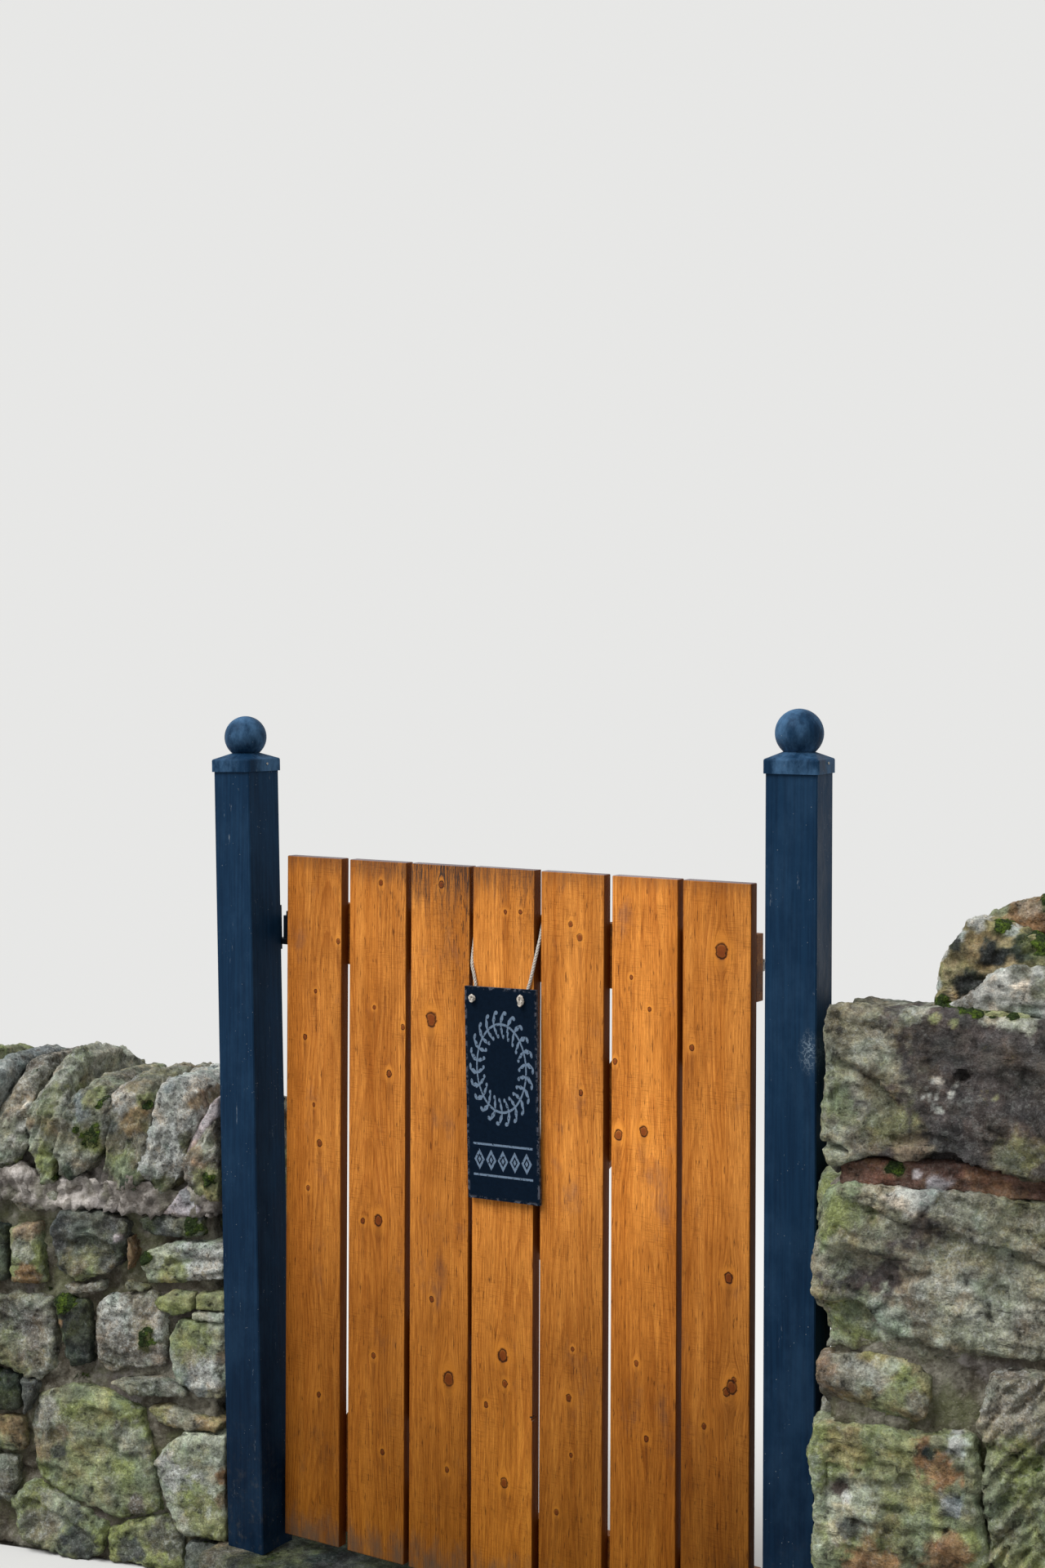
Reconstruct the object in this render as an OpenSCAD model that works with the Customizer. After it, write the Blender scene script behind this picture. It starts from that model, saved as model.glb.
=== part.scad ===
// Boarded timber gate on hook-and-band hinges, hung between two square posts with
// ball caps, with a length of masonry wall on each side. Millimetres, +Z up, origin
// on the ground under the middle of the gate, in the plane of the board fronts.

/* [Gate] */
// Height of the upright boards
gate_h = 1220; // [900:10:1500]
// Width of one upright board
board_w = 121.5; // [90:0.5:150]
// Thickness of the boards
board_t = 22; // [16:1:32]
// Mean gap between two boards
board_gap = 12.5; // [9:0.5:20]
// Chamfer along the front edges of the boards
board_chamfer = 1.5; // [0.5:0.5:4]
// Gap under the gate
gate_clear = 25; // [10:1:60]
// Height of a ledge
ledge_h = 107; // [70:1:150]
// Thickness of the ledges and the brace
ledge_t = 22; // [16:1:40]
// Top of the upper ledge below the top of the gate
ledge_drop = 82; // [40:1:200]
// Underside of the lower ledge above the bottom of the gate
ledge_rise = 22; // [10:1:120]
// Width of the diagonal brace
brace_w = 95; // [60:1:140]
// Brace end to the side of the gate
brace_inset = 40; // [20:1:120]

/* [Posts] */
// Side of the square posts
post_w = 83; // [70:1:110]
// Height of the left post above the threshold
left_post_h = 1415; // [1100:5:1800]
// Height of the right post above the threshold
right_post_h = 1442; // [1100:5:1800]
// Chamfer along the corners of the posts
post_chamfer = 2; // [1:0.5:8]
// Lean of the left post away from the gate, degrees
left_lean = 1.65; // [0:0.05:2]
// Turn of the left post about its own axis, degrees
left_turn = -1.85; // [-3:0.05:3]
// Turn of the right post about its own axis, degrees
right_turn = 7.5; // [0:0.5:9]
// Gap between the foot of the left post and the gate
hinge_gap = 9; // [8:0.5:20]
// Gap between the right post and the gate
latch_gap = 43.5; // [38:0.5:60]
// Backs of the posts behind the fronts of the boards
post_back = 35; // [33:1:37]

/* [Post caps] */
// Wall of the cap skirt
cap_wall = 2.5; // [1.5:0.5:4]
// Room between the skirt and the post
cap_room = 1; // [0.5:0.5:3]
// Depth of the skirt
cap_skirt = 23; // [15:1:40]
// Thickness of the cap over the post
cap_crown = 3; // [2:0.5:6]
// Rise of the sloping cap top
cap_rise = 10; // [5:1:25]
// Radius of the cap corners
cap_corner = 5; // [2:0.5:10]
// Diameter of the ball
ball_d = 76; // [60:1:80]
// Height of the ball's centre over its seat
ball_seat = 29; // [20:1:34]

/* [Hinges] */
// Outside radius of the rolled eye
eye_r = 11; // [10:0.5:14]
// Radius of the hinge pin
pin_r = 6; // [5:0.5:7]
// Running room of the eye on its pin
pin_room = 0.08; // [0.05:0.01:0.1]
// Thickness of the strap
strap_t = 5; // [4:0.5:6]
// Height of the strap at the eye
strap_h = 40; // [30:1:50]
// Height of the strap at its far end
strap_tip = 24; // [16:1:30]
// Length of the strap from the pin
strap_l = 380; // [250:5:600]
// Straight part of the strap on the ledge before its taper
strap_neck = 20; // [10:1:60]
// Hinge pin out from the side of the gate
pin_out = 38; // [30:1:42]
// Thickness of the hook's plate
plate_t = 4; // [3:0.5:5]
// Width of the hook's plate
plate_w = 60; // [50:1:70]
// Height of the hook's plate
plate_h = 80; // [70:1:110]
// Height of the arm under the eye
arm_h = 10; // [8:1:14]
// Pin above the eye
pin_over = 8; // [4:1:15]
// Gap between the arm and the eye
eye_gap = 0.4; // [0.3:0.1:1]

/* [Bolt] */
// Radius of the sliding bar
bar_r = 6; // [5:0.5:7]
// Length of the bar
bar_l = 200; // [180:5:240]
// End of the drawn bar inside the end of the ledge
bar_inset = 3; // [2:1:10]
// Room round the bar in its guides
bar_room = 0.6; // [0.3:0.1:1]
// Thickness of the bolt's plates
bolt_plate_t = 3; // [2:0.5:4]
// Height of the bolt's plates
bolt_plate_h = 40; // [34:1:50]
// Metal round the bar in its guides
guide_wall = 3; // [2:0.5:4]
// Width of one guide along the bar
guide_w = 12; // [8:1:16]

/* [Slate sign] */
// Width of the slate
slate_w = 143; // [100:1:180]
// Height of the slate
slate_h = 358; // [250:1:420]
// Thickness of the slate
slate_t = 5.5; // [4:0.5:8]
// Tilt of the hanging slate, degrees
slate_tilt = 1.5; // [0:0.1:3]
// Centre of the slate beside the middle of the fourth board
slate_side = 5; // [0:0.5:10]
// Centre of the slate below the top of the gate
slate_drop = 379; // [370:1:440]
// Radius of the two twine holes
slate_hole_r = 3.6; // [3:0.1:4]
// Diameter of the twine
twine_d = 4; // [3:0.5:4]

/* [Threshold] */
// Height of the threshold stone
step_h = 70; // [40:5:150]
// Front edge of the threshold before the boards
step_front = 103; // [80:1:160]
// Back edge of the threshold behind the boards
step_back = 150; // [80:5:300]

/* [Walls] */
// Turn of both walls from the line of the gate, degrees
wall_turn = 13; // [8:1:15]
// Thickness of the walls at the foot
wall_t = 380; // [300:10:500]
// Batter of the wall faces, degrees
wall_batter = 1.7; // [0:0.1:3]
// Height of the left wall under its coping
left_wall_h = 693; // [500:1:900]
// Height of the right wall under its top course
right_wall_h = 903; // [700:1:1000]
// Height of the top course at its front edge
top_course_h = 250; // [180:1:300]
// Backward fall of the top course, degrees
top_fall = 7; // [3:1:10]
// Gap between the left post and the left wall
left_wall_gap = 6; // [4:1:20]
// Near corner of the left wall before the boards
left_wall_front = 50; // [45:1:60]
// Near corner of the right wall before the boards
right_wall_front = 160; // [130:1:180]
// Near corner of the right wall from the side of the gate
right_wall_out = 175.5; // [170:0.5:200]
// Joint between two big stones
joint = 10; // [6:1:16]

/* [Coping] */
// Distance from one coping stone to the next
coping_pitch = 86; // [84:1:90]
// Mean thickness of a coping stone
coping_t = 66; // [50:1:68]
// Mean height of the coping
coping_h = 215; // [180:1:260]
// Radius of the worn crown of a coping stone towards each wall face
coping_crown = 130; // [60:5:150]
// Lean of the coping stones, degrees
coping_lean = 24; // [10:1:30]
// Overhang of the coping stones over the wall face
coping_over = 12; // [0:1:25]
// Height of the rounded copes on the right wall
cope_h = 170; // [120:5:220]
// Set-back of the rounded copes from the wall face
cope_back = 50; // [30:5:80]
// First rounded cope from the end of the right wall
cope_start = 148; // [100:1:160]
// Radius of the rounded edges of the copes
cope_round = 45; // [30:1:50]

/* [Hidden] */

// Number of upright boards
boards = 7;
// How each gap differs from the mean, from the hinge side
gap_change = [5.5, -2, -4.5, 1, 2.5, -3.5];

function sum_to(list, n) = n <= 0 ? 0 : list[n - 1] + sum_to(list, n - 1);
function board_x(i) = gate_left + i * (board_w + board_gap) + sum_to(gap_change, i);

gate_w = boards * board_w + (boards - 1) * board_gap + sum_to(gap_change, boards - 1);
gate_left = -gate_w / 2;
gate_right = gate_w / 2;
gate_z = step_h + gate_clear;
upper_ledge_z = gate_z + gate_h - ledge_drop - ledge_h;
lower_ledge_z = gate_z + ledge_rise;
ledge_back = board_t + ledge_t;

// Corner of a turned square beyond its half width
function corner_reach(turn) = post_w / 2 * (cos(turn) + abs(sin(turn)));
post_y = post_back - post_w / 2;
left_post_x = gate_left - hinge_gap - post_w / 2;
right_post_x = gate_right + latch_gap + post_w / 2;

cap_w = post_w + 2 * (cap_wall + cap_room);
cap_seat_r = sqrt(ball_d * ball_d / 4 - ball_seat * ball_seat);

pin_x = gate_left - pin_out;
pin_y = ledge_back + eye_r;
hinge_z = [lower_ledge_z + ledge_h / 2, upper_ledge_z + ledge_h / 2];

bolt_z = upper_ledge_z + ledge_h / 2;
// Room between the bar and the bolt's plate
bar_lift = 2;
bolt_y = ledge_back + bolt_plate_t + bar_r + bar_lift;
bar_end = gate_right - bar_inset;

// Each wall is as long as the stones on top of it need
copings = 10;
coping_end = 40;
left_wall_l = copings * coping_pitch + coping_end;
// Rounded copes of the right wall: length, height share and depth of each
cope_sizes = [[280, 1, 250], [262, 0.9, 240], [278, 0.95, 255]];
cope_end = 12;
cope_l = [for (size = cope_sizes) size[0]];
right_wall_l = cope_start + sum_to(cope_l, len(cope_l)) + (len(cope_l) - 1) * joint + cope_end;

// End of the left wall at the ground, beside the leaning post
left_wall_x = left_post_x - corner_reach(left_turn) - left_wall_gap + step_h * tan(left_lean);
left_wall_y = -left_wall_front;
// Near corner of the right wall at the ground
right_wall_x = gate_right + right_wall_out;
right_wall_y = -right_wall_front;
// Width of the threshold beyond the foot of the left post
step_ear = 24;
// Hairline between the threshold and the walls
bed = 0.3;
// Reach of a cutting block beyond the part
cut = 2000;

// Square with chamfered corners, centred
module chamfered_square(w, c) {
    h = w / 2;
    polygon([
        [-h + c, -h], [h - c, -h], [h, -h + c], [h, h - c],
        [h - c, h], [-h + c, h], [-h, h - c], [-h, -h + c]
    ]);
}

// Square with true round corners, centred
module round_square(w, r) {
    square([w, w - 2 * r], center = true);
    square([w - 2 * r, w], center = true);
    for (sx = [-1, 1], sy = [-1, 1])
        translate([sx * (w / 2 - r), sy * (w / 2 - r)]) circle(r, $fn = 32);
}

// Frames of the two posts, with their feet on the threshold
module on_left_post()
    translate([left_post_x, post_y, step_h]) rotate([0, -left_lean, 0]) rotate([0, 0, left_turn]) children();

module on_right_post()
    translate([right_post_x, post_y, step_h]) rotate([0, 0, right_turn]) children();

// Frames of the two walls: X along the wall away from the gate, Y through it
module on_left_wall()
    translate([left_wall_x, left_wall_y, 0]) rotate([0, 0, wall_turn]) mirror([1, 0, 0]) children();

module on_right_wall()
    translate([right_wall_x, right_wall_y, 0]) rotate([0, 0, wall_turn]) children();

// Masonry with battered faces; near_slope leans the end beside the post
module masonry(l, h, z0 = 0, near_slope = 0) {
    in0 = z0 * tan(wall_batter);
    in1 = (z0 + h) * tan(wall_batter);
    intersection() {
        rotate([90, 0, 90]) linear_extrude(2 * cut, center = true)
            polygon([[in0, z0], [wall_t - in0, z0], [wall_t - in1, z0 + h], [in1, z0 + h]]);
        translate([0, cut, 0]) rotate([90, 0, 0]) linear_extrude(2 * cut)
            polygon([
                [z0 * tan(near_slope), z0], [l, z0], [l, z0 + h], [(z0 + h) * tan(near_slope), z0 + h]
            ]);
    }
}

// Side of the threshold beside the right wall
function end_x(y) = right_wall_x - bed / cos(wall_turn) - (y - right_wall_y) * tan(wall_turn);

// Stone step under the posts and the gate, notched round the foot of the left wall
module threshold_stone() color("darkgrey") {
    ear_x = left_post_x - corner_reach(left_turn) - step_ear;
    left_x = left_wall_x + bed;
    notch_y = left_wall_y - (left_wall_x - ear_x) * tan(wall_turn) - bed;
    linear_extrude(step_h) polygon([
        [ear_x, -step_front], [end_x(-step_front), -step_front], [end_x(step_back), step_back],
        [left_x, step_back], [left_x, notch_y], [ear_x, notch_y]
    ]);
}

module left_wall() color("tan")
    on_left_wall() masonry(left_wall_l, left_wall_h, 0, left_lean);

module right_wall() color("tan")
    on_right_wall() masonry(right_wall_l, right_wall_h);

// Big stones of the top course, weathered to fall towards the back
module top_stone(from, to) color("rosybrown") on_right_wall() intersection() {
    translate([from, 0, 0]) masonry(to - from, top_course_h, right_wall_h);
    translate([from, top_front_y, right_wall_h + top_course_h]) rotate([-top_fall, 0, 0])
        translate([0, -cut, -cut]) cube([to - from, 2 * cut, cut]);
}

top_front_y = (right_wall_h + top_course_h) * tan(wall_batter);
top_stone_split = 560;

module right_top_stone_1() top_stone(0, top_stone_split);
module right_top_stone_2() top_stone(top_stone_split + joint, right_wall_l);

// Back edge of a cope below its front edge
cope_fall = 18;

// Rounded cope bedded on the falling top course
module right_cope(i) color("grey") on_right_wall() {
    size = cope_sizes[i];
    x0 = cope_start + i * joint + sum_to(cope_l, i);
    top = cope_h * size[1] - cope_round;
    r = cope_round;
    translate([x0, top_front_y, right_wall_h + top_course_h]) rotate([-top_fall, 0, 0])
        translate([0, cope_back, 0]) hull() for (x = [r, size[0] - r]) {
            translate([x, r, top]) sphere(r, $fn = 24);
            translate([x, size[2] - r, top - cope_fall]) sphere(r, $fn = 24);
            for (y = [r, size[2] - r])
                translate([x, y, 0]) cylinder(h = 1, r = r, $fn = 24);
        }
}

module right_cope_1() right_cope(0);
module right_cope_2() right_cope(1);
module right_cope_3() right_cope(2);

// Upright coping stones: change of thickness, height and lean, stone by stone
coping_change = [
    [0, -48, 0], [4, -18, 1], [-8, -22, 0], [-4, -38, 1], [2, 10, 0],
    [-2, -15, -1], [0, -4, 0], [-6, -24, 1], [2, -2, 0], [0, -12, -1]
];

module coping_stone(i) color("darkkhaki") on_left_wall() {
    change = coping_change[i];
    t = coping_t + change[0];
    h = (coping_h + change[1]) / cos(coping_lean);
    top_in = left_wall_h * tan(wall_batter);
    near = -coping_over + top_in;
    far = wall_t + coping_over - top_in;
    r = coping_crown;
    foot_r = 20;
    end_gap = left_wall_gap / 2;
    intersection() {
        translate([coping_pitch * (i + 0.8), 0, left_wall_h]) rotate([0, -coping_lean - change[2], 0])
            hull() for (p = [[near + r, h - r, r], [far - r, h - r, r],
                             [near + foot_r, -foot_r, foot_r], [far - foot_r, -foot_r, foot_r]])
                translate([0, p[0], p[1]]) rotate([0, 90, 0])
                    cylinder(h = t, r = p[2], center = true, $fn = 48);
        translate([0, cut, 0]) rotate([90, 0, 0]) linear_extrude(2 * cut) polygon([
            [left_wall_h * tan(left_lean) + end_gap, left_wall_h], [cut, left_wall_h],
            [cut, cut], [cut * tan(left_lean) + end_gap, cut]
        ]);
    }
}

module coping_stone_1() coping_stone(0);
module coping_stone_2() coping_stone(1);
module coping_stone_3() coping_stone(2);
module coping_stone_4() coping_stone(3);
module coping_stone_5() coping_stone(4);
module coping_stone_6() coping_stone(5);
module coping_stone_7() coping_stone(6);
module coping_stone_8() coping_stone(7);
module coping_stone_9() coping_stone(8);
module coping_stone_10() coping_stone(9);

// Square post, its foot cut level on the threshold
module post(h)
    translate([0, 0, -cap_skirt]) linear_extrude(h + cap_skirt) chamfered_square(post_w, post_chamfer);

// What stands above the threshold
module above_step()
    intersection() {
        children();
        translate([-cut, -cut, step_h]) cube([2 * cut, 2 * cut, cut]);
    }

module left_post() color("darkslategrey") above_step() on_left_post() post(left_post_h);
module right_post() color("darkslategrey") above_step() on_right_post() post(right_post_h);

// Cap with a thin skirt and a low four-sided top that ends in a round seat
module cap() {
    skirt_z = cap_crown - cap_skirt;
    difference() {
        hull() {
            translate([0, 0, skirt_z]) linear_extrude(cap_skirt - 3) round_square(cap_w, cap_corner);
            translate([0, 0, cap_crown - 3]) linear_extrude(2) round_square(cap_w - 1, cap_corner);
            translate([0, 0, cap_crown - 1]) linear_extrude(1) round_square(cap_w - 4, cap_corner);
            translate([0, 0, cap_crown + cap_rise - 1]) cylinder(h = 1, r = cap_seat_r + 1, $fn = 48);
        }
        translate([0, 0, skirt_z - 1]) linear_extrude(cap_skirt - cap_crown + 1)
            square(post_w + 2 * cap_room, center = true);
    }
}

module ball()
    translate([0, 0, cap_crown + cap_rise]) intersection() {
        translate([0, 0, ball_seat]) sphere(d = ball_d, $fn = 72);
        translate([-cut, -cut, 0]) cube([2 * cut, 2 * cut, cut]);
    }

module left_cap() color("darkslategrey") on_left_post() translate([0, 0, left_post_h]) cap();
module right_cap() color("darkslategrey") on_right_post() translate([0, 0, right_post_h]) cap();
module left_ball() color("darkslategrey") on_left_post() translate([0, 0, left_post_h]) ball();
module right_ball() color("darkslategrey") on_right_post() translate([0, 0, right_post_h]) ball();

// Hook of one hinge: plate on the back of the left post, arm and upright pin
module hook(z) {
    arm_z = z - strap_h / 2 - eye_gap - arm_h;
    plate_in = post_w / 2 - post_chamfer;
    arm_in = 22;
    on_left_post() translate([plate_in - plate_w, post_w / 2, z - step_h - plate_h / 2])
        cube([plate_w, plate_t, plate_h]);
    difference() {
        translate([pin_x - arm_in, post_back - plate_t, arm_z])
            cube([arm_in + eye_r, pin_y - post_back + plate_t, arm_h]);
        post_space();
    }
    translate([pin_x, pin_y, arm_z]) cylinder(h = arm_h, r = eye_r, $fn = 48);
    translate([pin_x, pin_y, arm_z]) cylinder(h = arm_h + eye_gap + strap_h + pin_over, r = pin_r, $fn = 48);
}

// Space of the left post, drawn wide and as deep as half the hook's plate
module post_space()
    on_left_post() translate([-post_w, -post_w / 2, -cut / 2])
        cube([2 * post_w, post_w + plate_t / 2, 2 * cut]);

module upper_hook() color("darkslategrey") hook(hinge_z[1]);
module lower_hook() color("darkslategrey") hook(hinge_z[0]);

// Strap of one hinge, tapering along the ledge from its rolled eye
module strap(z) color("darkslategrey") translate([pin_x, 0, z]) difference() {
    union() {
        translate([0, ledge_back + strap_t, 0]) rotate([90, 0, 0]) linear_extrude(strap_t) {
            polygon([
                [0, -strap_h / 2], [pin_out + strap_neck, -strap_h / 2],
                [strap_l - strap_tip / 2, -strap_tip / 2], [strap_l - strap_tip / 2, strap_tip / 2],
                [pin_out + strap_neck, strap_h / 2], [0, strap_h / 2]
            ]);
            translate([strap_l - strap_tip / 2, 0]) circle(d = strap_tip, $fn = 32);
        }
        translate([0, pin_y, -strap_h / 2]) cylinder(h = strap_h, r = eye_r, $fn = 48);
    }
    translate([0, pin_y, -strap_h]) cylinder(h = 2 * strap_h, r = pin_r + pin_room, $fn = 48);
}

module upper_strap() strap(hinge_z[1]);
module lower_strap() strap(hinge_z[0]);

// One upright board with eased front edges
module board(i) color("peru") translate([board_x(i), 0, gate_z]) linear_extrude(gate_h) polygon([
    [board_chamfer, 0], [board_w - board_chamfer, 0], [board_w, board_chamfer],
    [board_w, board_t], [0, board_t], [0, board_chamfer]
]);

module board_1() board(0);
module board_2() board(1);
module board_3() board(2);
module board_4() board(3);
module board_5() board(4);
module board_6() board(5);
module board_7() board(6);

module ledge(z) color("sienna") translate([gate_left, board_t, z]) cube([gate_w, ledge_t, ledge_h]);
module upper_ledge() ledge(upper_ledge_z);
module lower_ledge() ledge(lower_ledge_z);

// Diagonal brace rising from the hinge side to the latch side between the ledges
module brace() color("sienna") {
    low = lower_ledge_z + ledge_h;
    high = upper_ledge_z;
    run = gate_w - 2 * brace_inset;
    // Level width of the brace, from its width square to its length
    level_w = brace_w * sqrt(run * run + (high - low) * (high - low)) / (high - low);
    left = gate_left + brace_inset;
    right = gate_right - brace_inset;
    translate([0, ledge_back, 0]) rotate([90, 0, 0]) linear_extrude(ledge_t)
        polygon([[left, low], [left + level_w, low], [right, high], [right - level_w, high]]);
}

// Places of the bolt's three guides and its knob, back from the bar's end
guide_back = [10, 125, 175];
knob_back = 108;
knob_neck_r = 4;
knob_r = 8;
knob_out = 24;

module bolt_plate() color("dimgrey") {
    r = bar_r + bar_room;
    outer_r = r + guide_wall;
    difference() {
        union() {
            translate([bar_end - guide_back[2] - guide_w, ledge_back, bolt_z - bolt_plate_h / 2])
                cube([guide_back[2] + guide_w, bolt_plate_t, bolt_plate_h]);
            for (back = guide_back)
                translate([bar_end - back - guide_w / 2, ledge_back, bolt_z - outer_r])
                    cube([guide_w, bolt_y + outer_r - ledge_back, 2 * outer_r]);
        }
        translate([bar_end - bar_l, bolt_y, bolt_z]) rotate([0, 90, 0])
            cylinder(h = 2 * bar_l, r = r, $fn = 48);
    }
}

module bolt_bar() color("dimgrey") {
    translate([bar_end - bar_l, bolt_y, bolt_z]) rotate([0, 90, 0]) cylinder(h = bar_l, r = bar_r, $fn = 48);
    translate([bar_end - knob_back, bolt_y, bolt_z]) {
        rotate([-90, 0, 0]) cylinder(h = knob_out, r = knob_neck_r, $fn = 24);
        translate([0, knob_out, 0]) sphere(knob_r, $fn = 32);
    }
}

// Room round the bar in its keep, and the keep's place and width on the post
keep_room = 2;
keep_in = -12;
keep_plate_w = 46;

// Keep for the bar on the back of the right post
module bolt_keep() color("dimgrey") {
    r = bar_r + keep_room;
    outer_r = r + guide_wall;
    foot_y = post_back + bolt_plate_t / 2;
    on_right_post() translate([keep_in - keep_plate_w / 2, post_w / 2, bolt_z - step_h - bolt_plate_h / 2])
        cube([keep_plate_w, bolt_plate_t, bolt_plate_h]);
    translate([right_post_x + keep_in, 0, bolt_z]) difference() {
        translate([-guide_w / 2, foot_y, -outer_r])
            cube([guide_w, bolt_y + outer_r - foot_y, 2 * outer_r]);
        translate([-guide_w, bolt_y, 0]) rotate([0, 90, 0]) cylinder(h = 2 * guide_w, r = r, $fn = 48);
    }
}

// Slate that hangs before the fourth board, with the twine between them
twine_room = 1.2;
slate_back = -(twine_d + twine_room);
slate_x = board_x(3) + board_w / 2 + slate_side;
slate_z = gate_z + gate_h - slate_drop;
// Twine holes from the slate's centre, along and up
slate_holes = [[-54, 160], [43, 162]];

module slate_sign() color("darkslategrey")
    translate([slate_x, slate_back, slate_z]) rotate([90, 0, 0]) rotate([0, 0, slate_tilt]) difference() {
        translate([-slate_w / 2, -slate_h / 2, 0]) cube([slate_w, slate_h, slate_t]);
        for (hole = slate_holes)
            translate([hole[0], hole[1], -1]) cylinder(h = slate_t + 2, r = slate_hole_r, $fn = 32);
    }

// Route of the twine from knot to knot, from the middle of the fourth board's top: out of the
// left hole, up into the gap beside that board, behind it on the ledge, and down to the right hole
twine_points = [
    [-53.2, -15.6, -221], [-53.2, -10, -221], [-53.2, -7.5, -220.8], [-53.2, -5, -220],
    [-53.2, -3.2, -217.5], [-53.2, -2.8, -213], [-53, -2.7, -200], [-57.5, -2.7, -180],
    [-61.8, -1.8, -167], [-63.8, 3, -152], [-64.8, 9, -128], [-65, 15, -100],
    [-65, 18.5, -85], [-64.5, 20.5, -79.5], [-62.5, 24, -78], [-58, 26.5, -79],
    [-50, 26.5, -79.5], [-25, 26.5, -79.5], [0, 26.5, -79.5], [25, 26.5, -79.5],
    [50, 26.5, -79.5], [60, 26.5, -79], [65.5, 24, -78], [67.5, 20.5, -79.5],
    [68.2, 18.5, -84], [69, 12, -97], [69.5, 6, -113], [67, 2, -131],
    [63.2, -1, -152], [58.4, -2.7, -176], [52, -2.7, -197], [46.5, -2.8, -208],
    [44.4, -3.2, -212.8], [43.9, -5, -215.4], [43.8, -7.5, -216.2], [43.8, -10, -216.2],
    [43.8, -15.6, -216.2]
];
twine_sides = 8;

function unit(v) = v / norm(v);
function tangent(p, i) = unit(p[min(i + 1, len(p) - 1)] - p[max(i - 1, 0)]);
// Normal carried along the route without twist
function carried(n, t) = unit(n - (n * t) * t);
function normals(p) = [
    for (i = 0, n = carried([1, 0, 0], tangent(p, 0)); i < len(p); i = i + 1,
         n = i < len(p) ? carried(n, tangent(p, i)) : n) n
];

module tube(p, r) {
    n = normals(p);
    points = [
        for (i = [0 : len(p) - 1], k = [0 : twine_sides - 1])
            let (angle = 360 * k / twine_sides, side = cross(tangent(p, i), n[i]))
                p[i] + r * (cos(angle) * n[i] + sin(angle) * side)
    ];
    last = (len(p) - 1) * twine_sides;
    sides = [
        for (i = [0 : len(p) - 2], k = [0 : twine_sides - 1])
            let (a = i * twine_sides + k, b = i * twine_sides + (k + 1) % twine_sides)
                [a, a + twine_sides, b + twine_sides, b]
    ];
    ends = [[for (k = [0 : twine_sides - 1]) k], [for (k = [twine_sides - 1 : -1 : 0]) last + k]];
    polyhedron(points, concat(sides, ends));
}

// Knots before the slate at both ends of the twine
knot_r = 4.6;

module twine() color("wheat") translate([board_x(3) + board_w / 2, 0, gate_z + gate_h]) {
    tube(twine_points, twine_d / 2);
    for (p = [twine_points[0], twine_points[len(twine_points) - 1]])
        translate(p) sphere(knot_r, $fn = 16);
}

threshold_stone();
left_wall();
right_wall();
right_top_stone_1();
right_top_stone_2();
right_cope_1();
right_cope_2();
right_cope_3();
coping_stone_1();
coping_stone_2();
coping_stone_3();
coping_stone_4();
coping_stone_5();
coping_stone_6();
coping_stone_7();
coping_stone_8();
coping_stone_9();
coping_stone_10();
left_post();
right_post();
left_cap();
right_cap();
left_ball();
right_ball();
upper_hook();
lower_hook();
bolt_keep();
board_1();
board_2();
board_3();
board_4();
board_5();
board_6();
board_7();
upper_ledge();
lower_ledge();
brace();
upper_strap();
lower_strap();
bolt_plate();
bolt_bar();
slate_sign();
twine();
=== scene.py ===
import math
import random
from typing import NamedTuple

import bpy
from bpy.props import FloatProperty, FloatVectorProperty, PointerProperty
from mathutils import Matrix, Vector, noise


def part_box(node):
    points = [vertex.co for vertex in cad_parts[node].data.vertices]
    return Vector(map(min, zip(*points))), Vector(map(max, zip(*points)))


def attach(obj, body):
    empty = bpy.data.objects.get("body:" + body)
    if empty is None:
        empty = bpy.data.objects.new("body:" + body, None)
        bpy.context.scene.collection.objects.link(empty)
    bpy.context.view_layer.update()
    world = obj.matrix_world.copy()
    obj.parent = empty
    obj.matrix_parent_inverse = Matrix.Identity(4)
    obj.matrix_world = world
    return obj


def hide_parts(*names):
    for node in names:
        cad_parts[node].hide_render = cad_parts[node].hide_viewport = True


bl_info = {
    "name": "Boarded gate between stone walls",
    "version": (1, 0, 0),
    "blender": (4, 5, 0),
    "location": "View3D > Sidebar > Gateway",
    "description": "Dresses a boarded timber gate, its painted posts and its rubble walls",
    "category": "Add Mesh",
}

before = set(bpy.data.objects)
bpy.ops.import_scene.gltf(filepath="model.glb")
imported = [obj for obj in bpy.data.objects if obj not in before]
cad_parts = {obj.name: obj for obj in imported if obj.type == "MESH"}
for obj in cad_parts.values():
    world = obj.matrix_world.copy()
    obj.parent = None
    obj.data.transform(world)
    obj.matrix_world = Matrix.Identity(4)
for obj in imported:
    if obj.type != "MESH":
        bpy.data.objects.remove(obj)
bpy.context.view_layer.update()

GATEWAY, GATE = "gateway", "gate"

# Measures read from the frame
board_boxes = [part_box(f"board_{number}") for number in range(1, 8)]
gate_low_z = board_boxes[0][0].z
gate_high_z = board_boxes[0][1].z
board_w = board_boxes[0][1].x - board_boxes[0][0].x
ledge_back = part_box("upper_ledge")[1].y

# Both walls are turned from the line of the gate, and their faces lean inwards
wall_turn = math.radians(13)
wall_thick = 0.380
batter = math.tan(math.radians(1.7))
left_end_lean = math.tan(math.radians(1.65))

# Fall of the right wall's top towards its front, under the copes
bed_fall = math.radians(7)

# Half the width of a post cap over its skirt
cap_half = 0.0455

# How far behind its front a stone's face may lie, and how close a point is to a plane to lie on it
FACE_BAND = 0.045
TOUCH = 0.0001

# Lowest points of the wall stones above the ground, and where the courses of a wall's end start and
# end between its faces, in millimetres
GROUND_GAP = 4
WALL_END = (70, wall_thick * 1000 - 70)


# Settings that a user would change

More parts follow.
